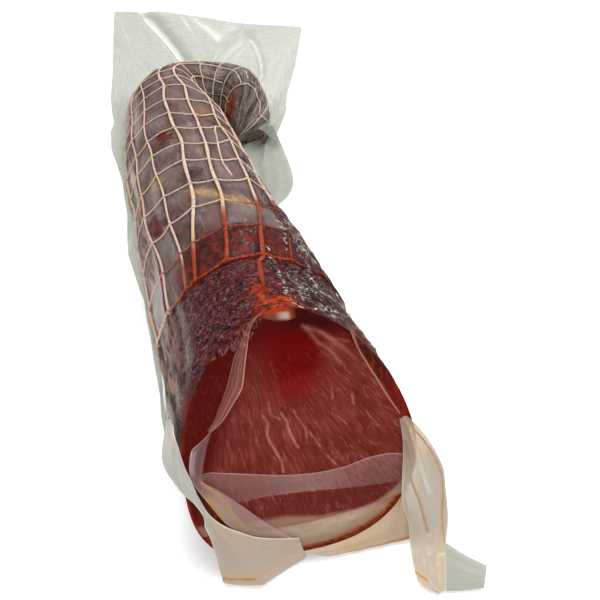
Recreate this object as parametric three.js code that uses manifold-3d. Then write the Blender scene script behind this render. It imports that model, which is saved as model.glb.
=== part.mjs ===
// A cured pork loin in an elastic net and a tight clear bag, cut across on the slant.
// Millimetres, +Z up. +Y runs along the loin, away from the cut. Everything stands on z = 0.
import * as THREE from 'three';
import { mergeVertices } from 'three/addons/utils/BufferGeometryUtils.js';
import Module from 'manifold-3d';

const { degToRad, smoothstep, clamp, lerp } = THREE.MathUtils;

// Driving dimensions of the loin
const loinWidth = 90;
const loinHeight = 71;
const widestHeight = 28;
const taperOverLength = 0.09;
const taperLength = 520;
const cutTilt = degToRad(37.8);
const cutReach = 100;
const upperPower = 1.78;
const lowerLeftPower = 3.2;
const lowerRightPower = 2.15;
const lumpHeight = 1.3;

// In plan the loin runs straight, drifts to the right, then hooks round and comes back beside itself
const bendRadius = 32;
const bendTurn = degToRad(209);
const route = [
  { length: 240, turn: 0 },
  { length: 228, turn: degToRad(6) },
  { length: bendRadius * bendTurn, turn: bendTurn },
  { length: 24, turn: 0 },
];
const loinLength = route.reduce((sum, piece) => sum + piece.length, 0);
const bendStart = route[0].length + route[1].length;
const tailRounding = 60;
const tailWidthShare = 0.54;
const tailHeightShare = 0.94;
const tipDroop = 0.55;
const pinchClearance = 7;

// Layers at the cut
const fatEdgeHeight = 10.5;
const fatDip = 2.2;
const topFatLeft = -9;
const topFatRight = 11;
const topFatDepth = 4.2;
const topFatLength = 58;

// Net and bag
const gap = 0.3;
const filmThickness = 1;
const cordWidth = 2.2;
const cordThickness = 1.2;
const stringCount = 14;
const stringTwist = 0;
const firstRing = 103;
const ringSpacing = 34;
const bodyRings = 11;
const turnRingSpacing = 21;
const turnRings = 7;
const loinBase = filmThickness + cordThickness + 2 * gap + 0.3;
const rimLift = cordThickness + 2 * gap + filmThickness / 2 + 1.3;

// A point of the centre line in plan, with the directions ahead and to the right
function centreLine(s) {
  const point = new THREE.Vector2();
  let heading = 0;
  let left = s;
  for (const piece of route) {
    const run = Math.min(left, piece.length);
    const turned = piece.turn * run / piece.length;
    const chord = turned > 0 ? 2 * run / turned * Math.sin(turned / 2) : run;
    const along = heading + turned / 2;
    point.add(new THREE.Vector2(Math.sin(along), Math.cos(along)).multiplyScalar(chord));
    heading += turned;
    left -= run;
  }
  const forward = new THREE.Vector2(Math.sin(heading), Math.cos(heading));
  return { x: point.x, y: point.y, forward, right: new THREE.Vector2(forward.y, -forward.x) };
}

// Shrink factors along the loin
function taper(s) {
  return 1 - taperOverLength * s / taperLength;
}

function tailShare(s, share) {
  return lerp(1, share, smoothstep(s, bendStart + 10, loinLength - tailRounding));
}

function rounding(s) {
  const depth = clamp((s - loinLength + tailRounding) / tailRounding, 0, 1);
  return 1 - 0.86 * depth ** 1.8;
}

function outerHalfWidth(s) {
  return loinWidth / 2 * taper(s) * tailShare(s, tailWidthShare);
}

function innerHalfWidth(s) {
  const limit = Math.min(outerHalfWidth(s), bendRadius - pinchClearance);
  return lerp(outerHalfWidth(s), limit, smoothstep(s, bendStart - 70, bendStart));
}

// Slow lumps of the dried surface, none on the underside that it rests on
function lump(s, angle) {
  const waves = Math.sin(s / 23 + 2 * angle) + 0.8 * Math.sin(s / 13 - 3 * angle + 1)
    + 0.6 * Math.sin(s / 37 + 5 * angle + 2);
  const onTop = smoothstep(Math.sin(angle), -0.55, 0.1);
  return lumpHeight * onTop * waves / 2.4 * smoothstep(s, 20, 60);
}

// A point of the loin's section, measured from its centre line across and from its widest level up
function sectionPoint(s, angle, lift = 0) {
  const across = Math.cos(angle);
  const up = Math.sin(angle);
  const height = tailShare(s, tailHeightShare) * taper(s);
  const half = across > 0 ? innerHalfWidth(s) : outerHalfWidth(s);
  const rise = (up > 0 ? loinHeight - widestHeight : widestHeight) * height;
  const lowerPower = across > 0 ? lowerRightPower : lowerLeftPower;
  const power = up > 0 ? upperPower : lowerPower;
  const bend = (value, reach) => Math.sign(value) * reach * Math.abs(value) ** (2 / power);
  const point = new THREE.Vector2(bend(across, half), bend(up, rise));
  const length = point.length();
  const size = rounding(s);
  return point.multiplyScalar(size + (size * lump(s, angle) + lift) / length);
}

// The tilt of the sections fades from the slanted cut to upright where the net begins
function lean(s) {
  return Math.tan(cutTilt) * (1 - clamp(s / cutReach, 0, 1));
}

function widestLevel(s) {
  const droop = 1 - tipDroop * (1 - rounding(s));
  return loinBase + widestHeight * taper(s) * tailShare(s, tailHeightShare) * droop;
}

function place(s, across, z) {
  const line = centreLine(s);
  const ahead = lean(s) * (z - loinBase);
  return new THREE.Vector3(
    line.x + line.right.x * across + line.forward.x * ahead,
    line.y + line.right.y * across + line.forward.y * ahead,
    z,
  );
}

function skin(s, angle, lift = 0) {
  const point = sectionPoint(s, angle, lift);
  return place(s, point.x, widestLevel(s) + point.y);
}

// Solids from rings of points, closed by flat caps
function solidFromTriangles(points, triangles) {
  const geometry = new THREE.BufferGeometry().setFromPoints(points);
  geometry.setIndex(triangles);
  let volume = 0;
  for (let i = 0; i < triangles.length; i += 3) {
    const [a, b, c] = [0, 1, 2].map((k) => points[triangles[i + k]]);
    volume += a.dot(new THREE.Vector3().crossVectors(b, c));
  }
  if (volume < 0) {
    geometry.setIndex(triangles.toReversed());
  }
  return geometry;
}

function capTriangles(ring, first) {
  const normal = new THREE.Vector3();
  ring.forEach((point, i) => {
    normal.add(new THREE.Vector3().crossVectors(point, ring[(i + 1) % ring.length]));
  });
  const turn = new THREE.Quaternion().setFromUnitVectors(normal.normalize(), new THREE.Vector3(0, 0, 1));
  const flat = ring.map((point) => point.clone().applyQuaternion(turn));
  const contour = flat.map((point) => new THREE.Vector2(point.x, point.y));
  return THREE.ShapeUtils.triangulateShape(contour, []).flat().map((index) => first + index);
}

function loft(rings) {
  const count = rings[0].length;
  const triangles = [];
  for (let i = 0; i + 1 < rings.length; i += 1) {
    for (let j = 0; j < count; j += 1) {
      const a = i * count + j;
      const b = i * count + (j + 1) % count;
      triangles.push(a, a + count, b, b, a + count, b + count);
    }
  }
  const last = (rings.length - 1) * count;
  const near = capTriangles(rings[0], 0);
  triangles.push(...near);
  triangles.push(...capTriangles(rings.at(-1), last).toReversed());
  return solidFromTriangles(rings.flat(), triangles);
}

// A thin sheet with even thickness on both sides of a grid of points
function film(rows) {
  const width = rows[0].length;
  const at = (i, j) => rows[clamp(i, 0, rows.length - 1)][clamp(j, 0, width - 1)];
  const side = (offset) => rows.flatMap((row, i) => row.map((point, j) => {
    const along = at(i + 1, j).clone().sub(at(i - 1, j));
    const across = at(i, j + 1).clone().sub(at(i, j - 1));
    return point.clone().addScaledVector(along.cross(across).normalize(), offset);
  }));
  const total = rows.length * width;
  const triangles = [];
  const quad = (a, b, c, d) => triangles.push(a, b, c, a, c, d);
  for (let i = 0; i + 1 < rows.length; i += 1) {
    for (let j = 0; j + 1 < width; j += 1) {
      const a = i * width + j;
      quad(a, a + width, a + width + 1, a + 1);
      quad(total + a, total + a + 1, total + a + width + 1, total + a + width);
    }
  }
  const rim = [];
  for (let j = 0; j + 1 < width; j += 1) rim.push(j);
  for (let i = 0; i + 1 < rows.length; i += 1) rim.push(i * width + width - 1);
  for (let j = width - 1; j > 0; j -= 1) rim.push((rows.length - 1) * width + j);
  for (let i = rows.length - 1; i > 0; i -= 1) rim.push(i * width);
  rim.forEach((a, k) => {
    const b = rim[(k + 1) % rim.length];
    quad(a, b, total + b, total + a);
  });
  return solidFromTriangles([...side(filmThickness / 2), ...side(-filmThickness / 2)], triangles);
}

function spread(from, to, steps) {
  return Array.from({ length: steps + 1 }, (_, i) => lerp(from, to, i / steps));
}

// Rings of the net, closer together where the loin turns, and the steps between them there
const rings = [
  ...spread(firstRing, firstRing + (bodyRings - 1) * ringSpacing, bodyRings - 1),
  ...spread(bendStart, bendStart + (turnRings - 1) * turnRingSpacing, turnRings - 1),
];

function stepsAfter(ring) {
  const next = rings[rings.indexOf(ring) + 1] ?? ring;
  const parts = ring >= bendStart ? 2 : 1;
  return spread(ring, next, parts).slice(1, -1);
}

// Stations along the loin: those of the rings and the steps, and more at the cut and at the tip
const bodyStations = [
  ...spread(0, 80, 4),
  ...rings.flatMap((ring) => [ring, ...stepsAfter(ring)]),
  ...[0.965, 0.985, 1].map((share) => loinLength * share),
];

// Lean meat: the skin above the fat line, and the fat line itself
const fatLineSteps = 6;

function fatEdgeAngle(s, side) {
  const drop = (fatEdgeHeight - widestHeight) / widestHeight;
  const power = side > 0 ? lowerRightPower : lowerLeftPower;
  const angle = Math.asin(-(Math.abs(drop) ** (power / 2)));
  return side > 0 ? angle : Math.PI - angle;
}

function fatLine(s, lift) {
  const right = sectionPoint(s, fatEdgeAngle(s, 1));
  const left = sectionPoint(s, fatEdgeAngle(s, -1));
  const dip = fatDip * taper(s) * rounding(s);
  return spread(-1, 1, fatLineSteps).map((share) => {
    const mix = (share + 1) / 2;
    const up = lerp(left.y, right.y, mix) - dip * (1 - share ** 2) + lift;
    return place(s, lerp(left.x, right.x, mix), widestLevel(s) + up);
  });
}

function topAngle(across) {
  return Math.acos(Math.sign(across) * (Math.abs(across) / (loinWidth / 2)) ** (upperPower / 2));
}

const topFatSteps = 6;
const topFatAngles = spread(topFatRight, topFatLeft, topFatSteps).map(topAngle);

function topFatShare(step) {
  const share = 2 * step / topFatSteps - 1;
  return 1 - share ** 2;
}

function leanRing(s) {
  const groove = (topFatDepth * (1 - 0.6 * s / topFatLength) + gap)
    * (1 - smoothstep(s, topFatLength + gap, topFatLength + 12));
  const flank = 10;
  const rightFlank = spread(fatEdgeAngle(s, 1), topFatAngles[0], flank).slice(0, -1);
  const leftFlank = spread(topFatAngles.at(-1), fatEdgeAngle(s, -1), flank).slice(1);
  const top = topFatAngles.map((angle, i) => skin(s, angle, -groove * topFatShare(i)));
  return [
    ...rightFlank.map((angle) => skin(s, angle)),
    ...top,
    ...leftFlank.map((angle) => skin(s, angle)),
    ...fatLine(s, gap / 2).slice(1, -1),
  ];
}

function loinLean() {
  return loft(bodyStations.map(leanRing));
}

// The back fat under the lean runs from the cut to the tip
function backFat() {
  return loft(bodyStations.map((s) => {
    const from = fatEdgeAngle(s, 1);
    const to = fatEdgeAngle(s, -1) - 2 * Math.PI;
    const under = spread(from, to, 9).slice(1, -1).map((angle) => skin(s, angle));
    return [...fatLine(s, -gap / 2).slice(1, -1), ...under];
  }));
}

// A thin lens of fat that lies in the top of the loin at the cut
function topFat() {
  const edgeGap = 0.12;
  return loft(spread(0, topFatLength, 4).map((s) => {
    const depth = topFatDepth * (1 - 0.6 * s / topFatLength);
    const inner = topFatAngles.slice(1, -1);
    const outside = inner.map((angle) => skin(s, angle));
    const inside = inner.map((angle, i) => skin(s, angle, -depth * topFatShare(i + 1) + edgeGap));
    return [...outside, ...inside.toReversed()];
  }));
}

// Share of the way round the section, so that the strings lie evenly spaced
function evenAngles(s, count, start) {
  const steps = 144;
  const angles = spread(0, 2 * Math.PI, steps);
  const points = angles.map((angle) => sectionPoint(s, angle));
  const lengths = [0];
  for (let i = 1; i <= steps; i += 1) {
    lengths.push(lengths[i - 1] + points[i].distanceTo(points[i - 1]));
  }
  return Array.from({ length: count }, (_, k) => {
    const target = ((k / count + start) % 1) * lengths[steps];
    const index = lengths.findIndex((length) => length > target);
    const share = (target - lengths[index - 1]) / (lengths[index] - lengths[index - 1]);
    return lerp(angles[index - 1], angles[index], share);
  });
}

// The net is one lattice: strings along the loin, rings around it, square holes between
function netColumns(s) {
  const perimeter = 248 * taper(s) * tailShare(s, 0.62);
  const half = cordWidth / 2 / perimeter;
  const centres = Array.from({ length: stringCount }, (_, k) => k / stringCount + stringTwist);
  return centres.flatMap((centre) => [
    { share: centre - half, cord: true },
    { share: centre + half, cord: false },
    { share: centre + 0.5 / stringCount, cord: false },
  ]);
}

function netRows() {
  return rings.flatMap((ring) => [
    { s: ring - cordWidth / 2, cord: true },
    { s: ring + cordWidth / 2, cord: false },
    ...stepsAfter(ring).map((s) => ({ s, cord: false })),
  ]);
}

function netting() {
  const rows = netRows();
  const columns = netColumns(0).length;
  const points = rows.flatMap(({ s }) => {
    const table = evenAngles(s, 720, 0);
    return netColumns(s).flatMap(({ share }) => {
      const place720 = ((share % 1) + 1) % 1 * 720;
      const low = table[Math.floor(place720) % 720];
      const next = table[Math.ceil(place720) % 720];
      const high = next < low ? next + 2 * Math.PI : next;
      const angle = lerp(low, high, place720 % 1);
      return [skin(s, angle, gap + 0.25), skin(s, angle, gap + 0.25 + cordThickness)];
    });
  });
  const solid = (i, j) => i >= 0 && i + 1 < rows.length
    && (rows[i].cord || netColumns(0)[(j + columns) % columns].cord);
  const inner = (i, j) => 2 * (i * columns + (j + columns) % columns);
  const triangles = [];
  const quad = (a, b, c, d) => triangles.push(a, b, c, a, c, d);
  for (let i = 0; i + 1 < rows.length; i += 1) {
    for (let j = 0; j < columns; j += 1) {
      if (!solid(i, j)) continue;
      const [a, b, c, d] = [inner(i, j), inner(i + 1, j), inner(i + 1, j + 1), inner(i, j + 1)];
      quad(a, b, c, d);
      quad(a + 1, d + 1, c + 1, b + 1);
      if (!solid(i - 1, j)) quad(d, d + 1, a + 1, a);
      if (!solid(i + 1, j)) quad(b, b + 1, c + 1, c);
      if (!solid(i, j - 1)) quad(a, a + 1, b + 1, b);
      if (!solid(i, j + 1)) quad(c, c + 1, d + 1, d);
    }
  }
  const used = [...new Set(triangles)];
  const index = new Map(used.map((old, position) => [old, position]));
  return solidFromTriangles(used.map((old) => points[old]), triangles.map((old) => index.get(old)));
}

// The bag: a floor sheet, a rim that hugs the lower flanks, the empty far end and two near corners
const outerEdge = [
  { s: 20, at: [-50.5, 36, 31] },
  { s: 200, at: [-50, 212, 31] },
  { s: 330, at: [-46.5, 335, 32] },
  { s: 430, at: [-44, 436, 34] },
  { s: 468, at: [-43, 480, 42] },
  { s: 482, at: [-37, 522, 55] },
  { s: 496, at: [-25, 598, 97] },
  { s: 516, at: [68, 602, 86] },
  { s: 538, at: [166, 600, 70] },
  { s: 547, at: [138, 545, 52] },
  { s: 556, at: [117, 492, 34] },
  { s: 580, at: [99, 440, 18] },
  { s: 590, at: [93, 425, 10] },
];

function edgeAt(s) {
  const next = Math.max(outerEdge.findIndex((knot) => knot.s >= s), 1);
  const [from, to] = [outerEdge[next - 1], outerEdge[next]];
  const share = (s - from.s) / (to.s - from.s);
  return new THREE.Vector3(...from.at).lerp(new THREE.Vector3(...to.at), share);
}

const rimAngles = spread(1.28, 0, 6);
const wingSteps = 5;

function rimRow(s, angleAt) {
  return rimAngles.map((angle) => {
    const point = skin(s, angleAt(angle), rimLift);
    point.z = Math.max(point.z, filmThickness / 2);
    return point;
  });
}

function rimStations(last) {
  return [20, 48, 76, ...bodyStations.filter((s) => s >= firstRing && s < last), last];
}

function outerRim() {
  const corners = outerEdge.slice(5, 9).map((knot) => knot.s);
  const stations = [...rimStations(outerEdge.at(-1).s), ...corners].sort((a, b) => a - b);
  return film(stations.map((s) => {
    const row = rimRow(s, (angle) => Math.PI + angle);
    const root = row.at(-1);
    const tip = edgeAt(s);
    const reach = tip.distanceTo(root);
    const steps = reach > 0 ? wingSteps : 0;
    for (let k = 1; k <= steps; k += 1) {
      const share = k / steps;
      const point = root.clone().lerp(tip, share);
      point.z += 0.05 * reach * Math.sin(Math.PI * share) * Math.sin(s / 9);
      row.push(point);
    }
    return row;
  }));
}

function rightRim() {
  const wingWidth = 2;
  return film(rimStations(330).map((s) => {
    const row = rimRow(s, (angle) => -angle);
    const tip = row.at(-1).clone();
    tip.x += wingWidth;
    tip.z += 1;
    return [...row, tip];
  }));
}

function ribbon(leftEdge, rightEdge, steps) {
  const [left, right] = [leftEdge, rightEdge].map((points) => (
    new THREE.CatmullRomCurve3(points.map((point) => new THREE.Vector3(...point)), false, 'centripetal')
  ));
  return film(spread(0, 1, steps).map((share) => {
    const [from, to] = [left.getPoint(share), right.getPoint(share)];
    return spread(0, 1, 3).map((across) => from.clone().lerp(to, across));
  }));
}

// The left corner runs down the flank, folds over the foot of the cut and lies along the floor
const leftCorner = [
  [[-51, 62, 31], [-51, 30, 25], [-45, 5, 9], [-38, -5, 1.2], [-24, -9, 0.9], [-9, -6, 0.9]],
  [[-49.5, 54, 22], [-47, 12, 21], [-36, -1, 16], [-28, -2, 10], [-17, -3, 7], [-6, -3.5, 5]],
];

// The right corner stands off the edge of the cut and turns out along the floor
const rightCorner = [
  [[50.5, 56, 33], [52, 36, 29], [53, 18, 22], [53, 4, 12], [49, -6, 4], [48, -14, 1.2], [57, -23, 1]],
  [[49.5, 44, 27], [48, 21, 25], [38, 6, 20], [32, 0, 10], [30, -8, 3], [31, -20, 0.9], [49, -32, 0.9]],
];

function floorSheet() {
  const outline = [];
  const follow = (stations, side) => stations.forEach((s) => {
    const half = side > 0 ? innerHalfWidth(s) : -outerHalfWidth(s);
    const inset = s > bendStart ? 10 : 16;
    const point = place(s, half - side * inset * rounding(s), loinBase);
    outline.push(new THREE.Vector2(point.x, point.y));
  });
  follow([...spread(20, 430, 4), ...spread(450, 590, 9)], -1);
  const besideTail = [[101, 446], [97, 424], [93, 391], [88, 356], [78, 328], [56, 304]];
  besideTail.forEach((point) => outline.push(new THREE.Vector2(...point)));
  follow(spread(280, 16, 3), 1);
  const footOfCut = [[44, -6], [46, -17], [33, -19], [30, -7], [-4, -4], [-10, -7.5], [-34, -7.5]];
  footOfCut.forEach((point) => outline.push(new THREE.Vector2(...point)));
  return new THREE.ExtrudeGeometry(new THREE.Shape(outline), { depth: filmThickness, bevelEnabled: false });
}

const wasm = await Module();
wasm.setup();

function toManifold(geometry) {
  const bare = geometry.clone();
  bare.deleteAttribute('normal');
  bare.deleteAttribute('uv');
  const merged = mergeVertices(bare, 1e-4);
  return new wasm.Manifold(new wasm.Mesh({
    numProp: 3,
    vertProperties: new Float32Array(merged.attributes.position.array),
    triVerts: new Uint32Array(merged.index.array),
  }));
}

function fromManifold(solid) {
  const mesh = solid.getMesh();
  const geometry = new THREE.BufferGeometry();
  geometry.setAttribute('position', new THREE.BufferAttribute(mesh.vertProperties, 3));
  geometry.setIndex(new THREE.BufferAttribute(mesh.triVerts, 1));
  return geometry;
}

function vacuumBag() {
  const sheets = [
    floorSheet(),
    outerRim(),
    rightRim(),
    ribbon(...leftCorner, 12),
    ribbon(...rightCorner, 12),
  ];
  return fromManifold(sheets.map(toManifold).reduce((whole, sheet) => whole.add(sheet)));
}

const parts = [
  ['loin_lean', loinLean(), { color: 0x5c1f22, roughness: 0.45 }],
  ['back_fat', backFat(), { color: 0xd9cbb4, roughness: 0.5 }],
  ['top_fat', topFat(), { color: 0xe6d9c4, roughness: 0.5 }],
  ['netting', netting(), { color: 0xd9b894, roughness: 0.8 }],
  ['bag_film', vacuumBag(), { color: 0xdfe3df, roughness: 0.15 }],
];

const model = new THREE.Group();
for (const [name, geometry, finish] of parts) {
  const mesh = new THREE.Mesh(geometry, new THREE.MeshStandardMaterial({ metalness: 0, ...finish }));
  mesh.name = name;
  model.add(mesh);
}

// The origin is the middle of the whole footprint, on the floor
const bounds = new THREE.Box3().setFromObject(model);
const centre = bounds.getCenter(new THREE.Vector3());
model.position.set(-centre.x, -centre.y, -bounds.min.z);
model.updateMatrixWorld(true);

export default model;
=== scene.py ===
# %% [markdown]
# # A cured pork loin in its net and its clear bag
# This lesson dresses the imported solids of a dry-cured loin: dark smoked meat under a skin of
# paprika, a layer of back fat along the foot, a knitted elastic net over all but the cut end,
# and a thin bag that the vacuum has pulled tight over everything. The solids say where each
# part is. Here each one is replaced by a fine mesh that lies in the same place.
# Lengths are millimetres until a mesh is written, because butchery is easier to read that way.

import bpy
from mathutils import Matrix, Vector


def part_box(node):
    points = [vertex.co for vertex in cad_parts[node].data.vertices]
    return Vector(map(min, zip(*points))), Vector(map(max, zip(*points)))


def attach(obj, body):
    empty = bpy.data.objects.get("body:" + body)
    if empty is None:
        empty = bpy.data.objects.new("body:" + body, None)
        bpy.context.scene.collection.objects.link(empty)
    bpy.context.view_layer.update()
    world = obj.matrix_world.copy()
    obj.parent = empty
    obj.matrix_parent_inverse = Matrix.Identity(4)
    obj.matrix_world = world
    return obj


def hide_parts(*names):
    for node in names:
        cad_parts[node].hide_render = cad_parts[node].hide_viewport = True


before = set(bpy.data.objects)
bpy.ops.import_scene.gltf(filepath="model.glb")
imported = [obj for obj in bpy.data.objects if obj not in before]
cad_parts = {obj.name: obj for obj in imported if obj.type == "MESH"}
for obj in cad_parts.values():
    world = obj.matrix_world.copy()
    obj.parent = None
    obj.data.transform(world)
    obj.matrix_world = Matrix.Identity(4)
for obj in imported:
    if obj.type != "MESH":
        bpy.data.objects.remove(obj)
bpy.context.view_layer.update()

import math

import bpy
import numpy as np
from mathutils import Vector

print("nodes in the frame:", sorted(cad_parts))

# %% [markdown]
# ## The line that the loin follows
# A loin is a long muscle of nearly even section, so it is best described as a section that
# travels along a line. The line runs straight, drifts to the right and then hooks round,
# because the thin end was folded back when it was bagged. Arcs are exact and need no points
# chosen by eye, so the line is a short list of runs, each with its length and its turn.

# %% Driving sizes and the centre line
loin_width = 90
loin_height = 71
widest_height = 28
taper_over_length = 0.09
taper_length = 520
cut_tilt = math.radians(37.8)
cut_reach = 100
upper_power = 1.78
lower_left_power = 3.2
lower_right_power = 2.15
lump_height = 1.3
bend_radius = 32
bend_turn = math.radians(209)
route = [(240, 0), (228, math.radians(6)), (bend_radius * bend_turn, bend_turn), (24, 0)]
loin_length = sum(length for length, turn in route)
bend_start = 468
tail_rounding = 60
tail_width_share = 0.54
tail_height_share = 0.94
tip_narrowing = 0.86
tip_power = 1.8
tip_droop = 0.55
pinch_clearance = 7
loin_base = 3.1


def smoothstep(value, low, high):
    """0 at low, 1 at high and smooth between; low may be above high."""
    share = np.clip((value - low) / (high - low), 0, 1)
    return share * share * (3 - 2 * share)


def centre_line(s):
    """Plan position and heading at each distance s from the cut."""
    x, y, heading = (np.zeros_like(s) for _ in range(3))
    left = s.copy()
    for length, turn in route:
        run = np.clip(left, 0, length)
        turned = turn * run / length
        chord = run * np.sinc(turned / 2 / math.pi)
        x += np.sin(heading + turned / 2) * chord
        y += np.cos(heading + turned / 2) * chord
        heading += turned
        left = left - run
    return x, y, heading


print(f"the loin is {loin_length:.0f} mm long along its middle")

# %% [markdown]
# ## How the loin thins
# A loin tapers slowly, thins fast where it is folded and ends in a round tip. On the inner
# side of the hook it must also stay narrower than the bend, or it would cut through itself.
# Each of these depends on the distance from the cut alone, so each is a small function of it.


# %% Taper, tail and half widths
def taper(s):
    """What is left of the full size at a distance from the cut."""
    return 1 - taper_over_length * s / taper_length


def tail_share(s, share):
    """Falls from 1 to a share along the folded end."""
    return 1 + (share - 1) * smoothstep(s, bend_start + 10, loin_length - tail_rounding)


def rounding(s):
    """Closes the section over the last stretch, so that the tip is round."""
    depth = np.clip((s - loin_length + tail_rounding) / tail_rounding, 0, 1)
    return 1 - tip_narrowing * depth**tip_power


def outer_half(s):
    """Half the width on the outer side of the hook."""
    return loin_width / 2 * taper(s) * tail_share(s, tail_width_share)


def inner_half(s):
    """Half the width on the inner side, where the hook leaves less room."""
    outer = outer_half(s)
    limit = np.minimum(outer, bend_radius - pinch_clearance)
    return outer + (limit - outer) * smoothstep(s, bend_start - 70, bend_start)


widths = outer_half(np.array([0.0, bend_start, loin_length - tail_rounding])) * 2
print("the loin would be", np.round(widths), "mm wide at the cut, the bend and the tip")

# %% [markdown]
# ## The section
# Across, the loin is a soft dome with a flatter foot. A superellipse gives both, with one
# power for the top and one for each lower quarter. The sections lean back at the cut, which
# was made on the slant, and stand upright further on, so one function sets any point of a
# section into the room.


# %% Section and skin of the loin
def lump(s, angle):
    """The slow unevenness of the upper side."""
    waves = (
        np.sin(s / 23 + 2 * angle)
        + 0.8 * np.sin(s / 13 - 3 * angle + 1)
        + 0.6 * np.sin(s / 37 + 5 * angle + 2)
    )
    on_top = smoothstep(np.sin(angle), -0.55, 0.1)
    return lump_height * on_top * waves / 2.4 * smoothstep(s, 20, 60)


def section(s, angle, lift=0.0):
    """Across and up from the widest level; angle 0 is the right side and a quarter turn the top."""
    across, up = np.cos(angle), np.sin(angle)
    height = tail_share(s, tail_height_share) * taper(s)
    half = np.where(across > 0, inner_half(s), outer_half(s))
    rise = np.where(up > 0, loin_height - widest_height, widest_height) * height
    lower = np.where(across > 0, lower_right_power, lower_left_power)
    power = np.where(up > 0, upper_power, lower)
    x = np.sign(across) * half * np.abs(across) ** (2 / power)
    y = np.sign(up) * rise * np.abs(up) ** (2 / power)
    size = rounding(s)
    scale = size + (size * lump(s, angle) + lift) / np.hypot(x, y)
    return x * scale, y * scale


def widest_level(s):
    """Height of the widest place of the section over the floor."""
    droop = 1 - tip_droop * (1 - rounding(s))
    return loin_base + widest_height * taper(s) * tail_share(s, tail_height_share) * droop


def place(s, across, z):
    """A point of a section, set into the room: leaning back at the cut, upright from cut_reach on."""
    x, y, heading = centre_line(s)
    ahead = math.tan(cut_tilt) * (1 - np.clip(s / cut_reach, 0, 1)) * (z - loin_base)
    return np.stack([
        x + np.cos(heading) * across + np.sin(heading) * ahead,
        y - np.sin(heading) * across + np.cos(heading) * ahead,
        z + 0 * x,
    ], -1)


def skin(s, angle, lift=0.0):
    """Points on the skin, or lifted off it."""
    s, angle = np.broadcast_arrays(np.asarray(s, float), np.asarray(angle, float))
    across, up = section(s, angle, lift)
    return place(s, across, widest_level(s) + up)


print("the cut leans back", round(math.degrees(cut_tilt), 1), "degrees")

# %% [markdown]
# ## Measuring round the loin
# The strings of the net lie evenly spaced round the skin, so a place on the skin is told by
# its distance from the cut and by its string number, which counts from the right side over
# the top. The angle of the superellipse isn't even in length, so a table for each station
# turns string numbers into angles and back. Last comes the foot of the cut, found from the
# packed back fat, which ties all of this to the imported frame.

# %% String numbers
string_count = 14
table_angles = np.linspace(0, 2 * math.pi, 241)


def round_tables(s):
    """For each station, the string number that each angle of the table has."""
    x, y = section(s[:, None], table_angles[None, :])
    steps = np.hypot(np.diff(x), np.diff(y))
    lengths = np.concatenate([np.zeros((len(s), 1)), np.cumsum(steps, 1)], 1)
    return lengths / lengths[:, -1:] * string_count, lengths[:, -1]


def angles_of(s, number):
    """Angles of string numbers; s has one value for each row of number."""
    tables, _ = round_tables(s)
    rows = [np.interp(np.mod(n, string_count), t, table_angles) for n, t in zip(number, tables)]
    return np.array(rows)


def numbers_of(s, angle):
    """String numbers of angles; s has one value for each row of angle."""
    tables, _ = round_tables(s)
    rows = [np.interp(np.mod(a, 2 * math.pi), table_angles, t) for a, t in zip(angle, tables)]
    return np.array(rows)


mm = 0.001
fat_edge_height = 10.5
fat_dip = 2.2


def fat_edge_angle(side):
    """Angle of the section where the back fat comes to the skin on one side."""
    drop = (widest_height - fat_edge_height) / widest_height
    power = lower_right_power if side > 0 else lower_left_power
    angle = math.asin(-(drop ** (power / 2)))
    return angle if side > 0 else math.pi - angle


fat_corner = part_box("back_fat")[0]
cut_left = float(section(np.array(0.0), np.array(fat_edge_angle(-1)))[0])
cut_foot = np.array([fat_corner.x / mm - cut_left, fat_corner.y / mm, 0])
print("the cut's foot stands at", np.round(cut_foot, 2), "mm in the packed frame")

# %% [markdown]
# ## How the net lies
# The net is a tube of strings joined by rings. Near the hem it was pulled askew, so the
# strings on top lean over to the left there, and each ring dips between the strings that
# carry it. Two functions say where a string and a ring run. The meat, the cords and the film
# all read them, so that grooves, cords and tents of film agree.

# %% Strings and rings
first_ring = 100.5
ring_spacing = 34.2
body_rings = 11
turn_spacing = 21
turn_rings = 7
ring_places = [first_ring + ring_spacing * k for k in range(body_rings)]
ring_places += [bend_start + turn_spacing * k for k in range(turn_rings)]
string_nudge = {2: -0.1, 3: 0.08, 5: 0.14}


def string_number(k, s):
    """The string number where string k runs at distance s, after the skew near the hem."""
    start = k + 0.2 + string_nudge.get(k, 0)
    lean_over = 1.5 * smoothstep(start, 5.9, 1.9) + 1.5 * smoothstep(start, 9, 13) - 0.2 * (k == 2)
    wander = 0.05 * np.sin(s / 31 + 2.1 * k) + 0.03 * np.sin(s / 12 + 5 * k)
    wander = wander + 0.45 * (k == 4) * smoothstep(s, 185, 115)
    return start + wander + lean_over * np.clip((300 - s) / 200, 0, 1) ** 1.8


def ring_shift(number, s):
    """How far a ring is drawn along the loin at a string number."""
    share = np.clip((s - 110) / 155, 0, 1) * (1 - smoothstep(s, 330, 440))
    number = np.mod(number, string_count)
    dip = -13 * np.exp(-(((number - 3.5) / 0.8) ** 2))
    pull = 14 * smoothstep(number, 3.0, 2.1) * smoothstep(number, 0.2, 1.4)
    zigzag = 2.2 * np.sin(number * math.pi) * smoothstep(number, 5.2, 6.2) * smoothstep(number, 9, 8)
    skew = -9 * np.cos(number * 2 * math.pi / string_count) * smoothstep(s, 470, 500)
    return share * (dip + pull) + zigzag * smoothstep(s, 90, 130) + skew


def wrap(difference):
    """Shortest difference of two string numbers, whichever way round."""
    return np.abs(np.mod(difference + string_count / 2, string_count) - string_count / 2)


def net_distances(s, number, around):
    """Millimetres to the nearest string and to the nearest ring."""
    spacing = around / string_count
    strings = [wrap(number - string_number(k, s)) * spacing for k in range(string_count)]
    rings = [np.abs(s - ring - ring_shift(number, ring)) for ring in ring_places]
    return np.min(strings, 0), np.min(rings, 0)


print(len(ring_places), "rings, from", first_ring, "to", round(ring_places[-1]), "mm")

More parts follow.
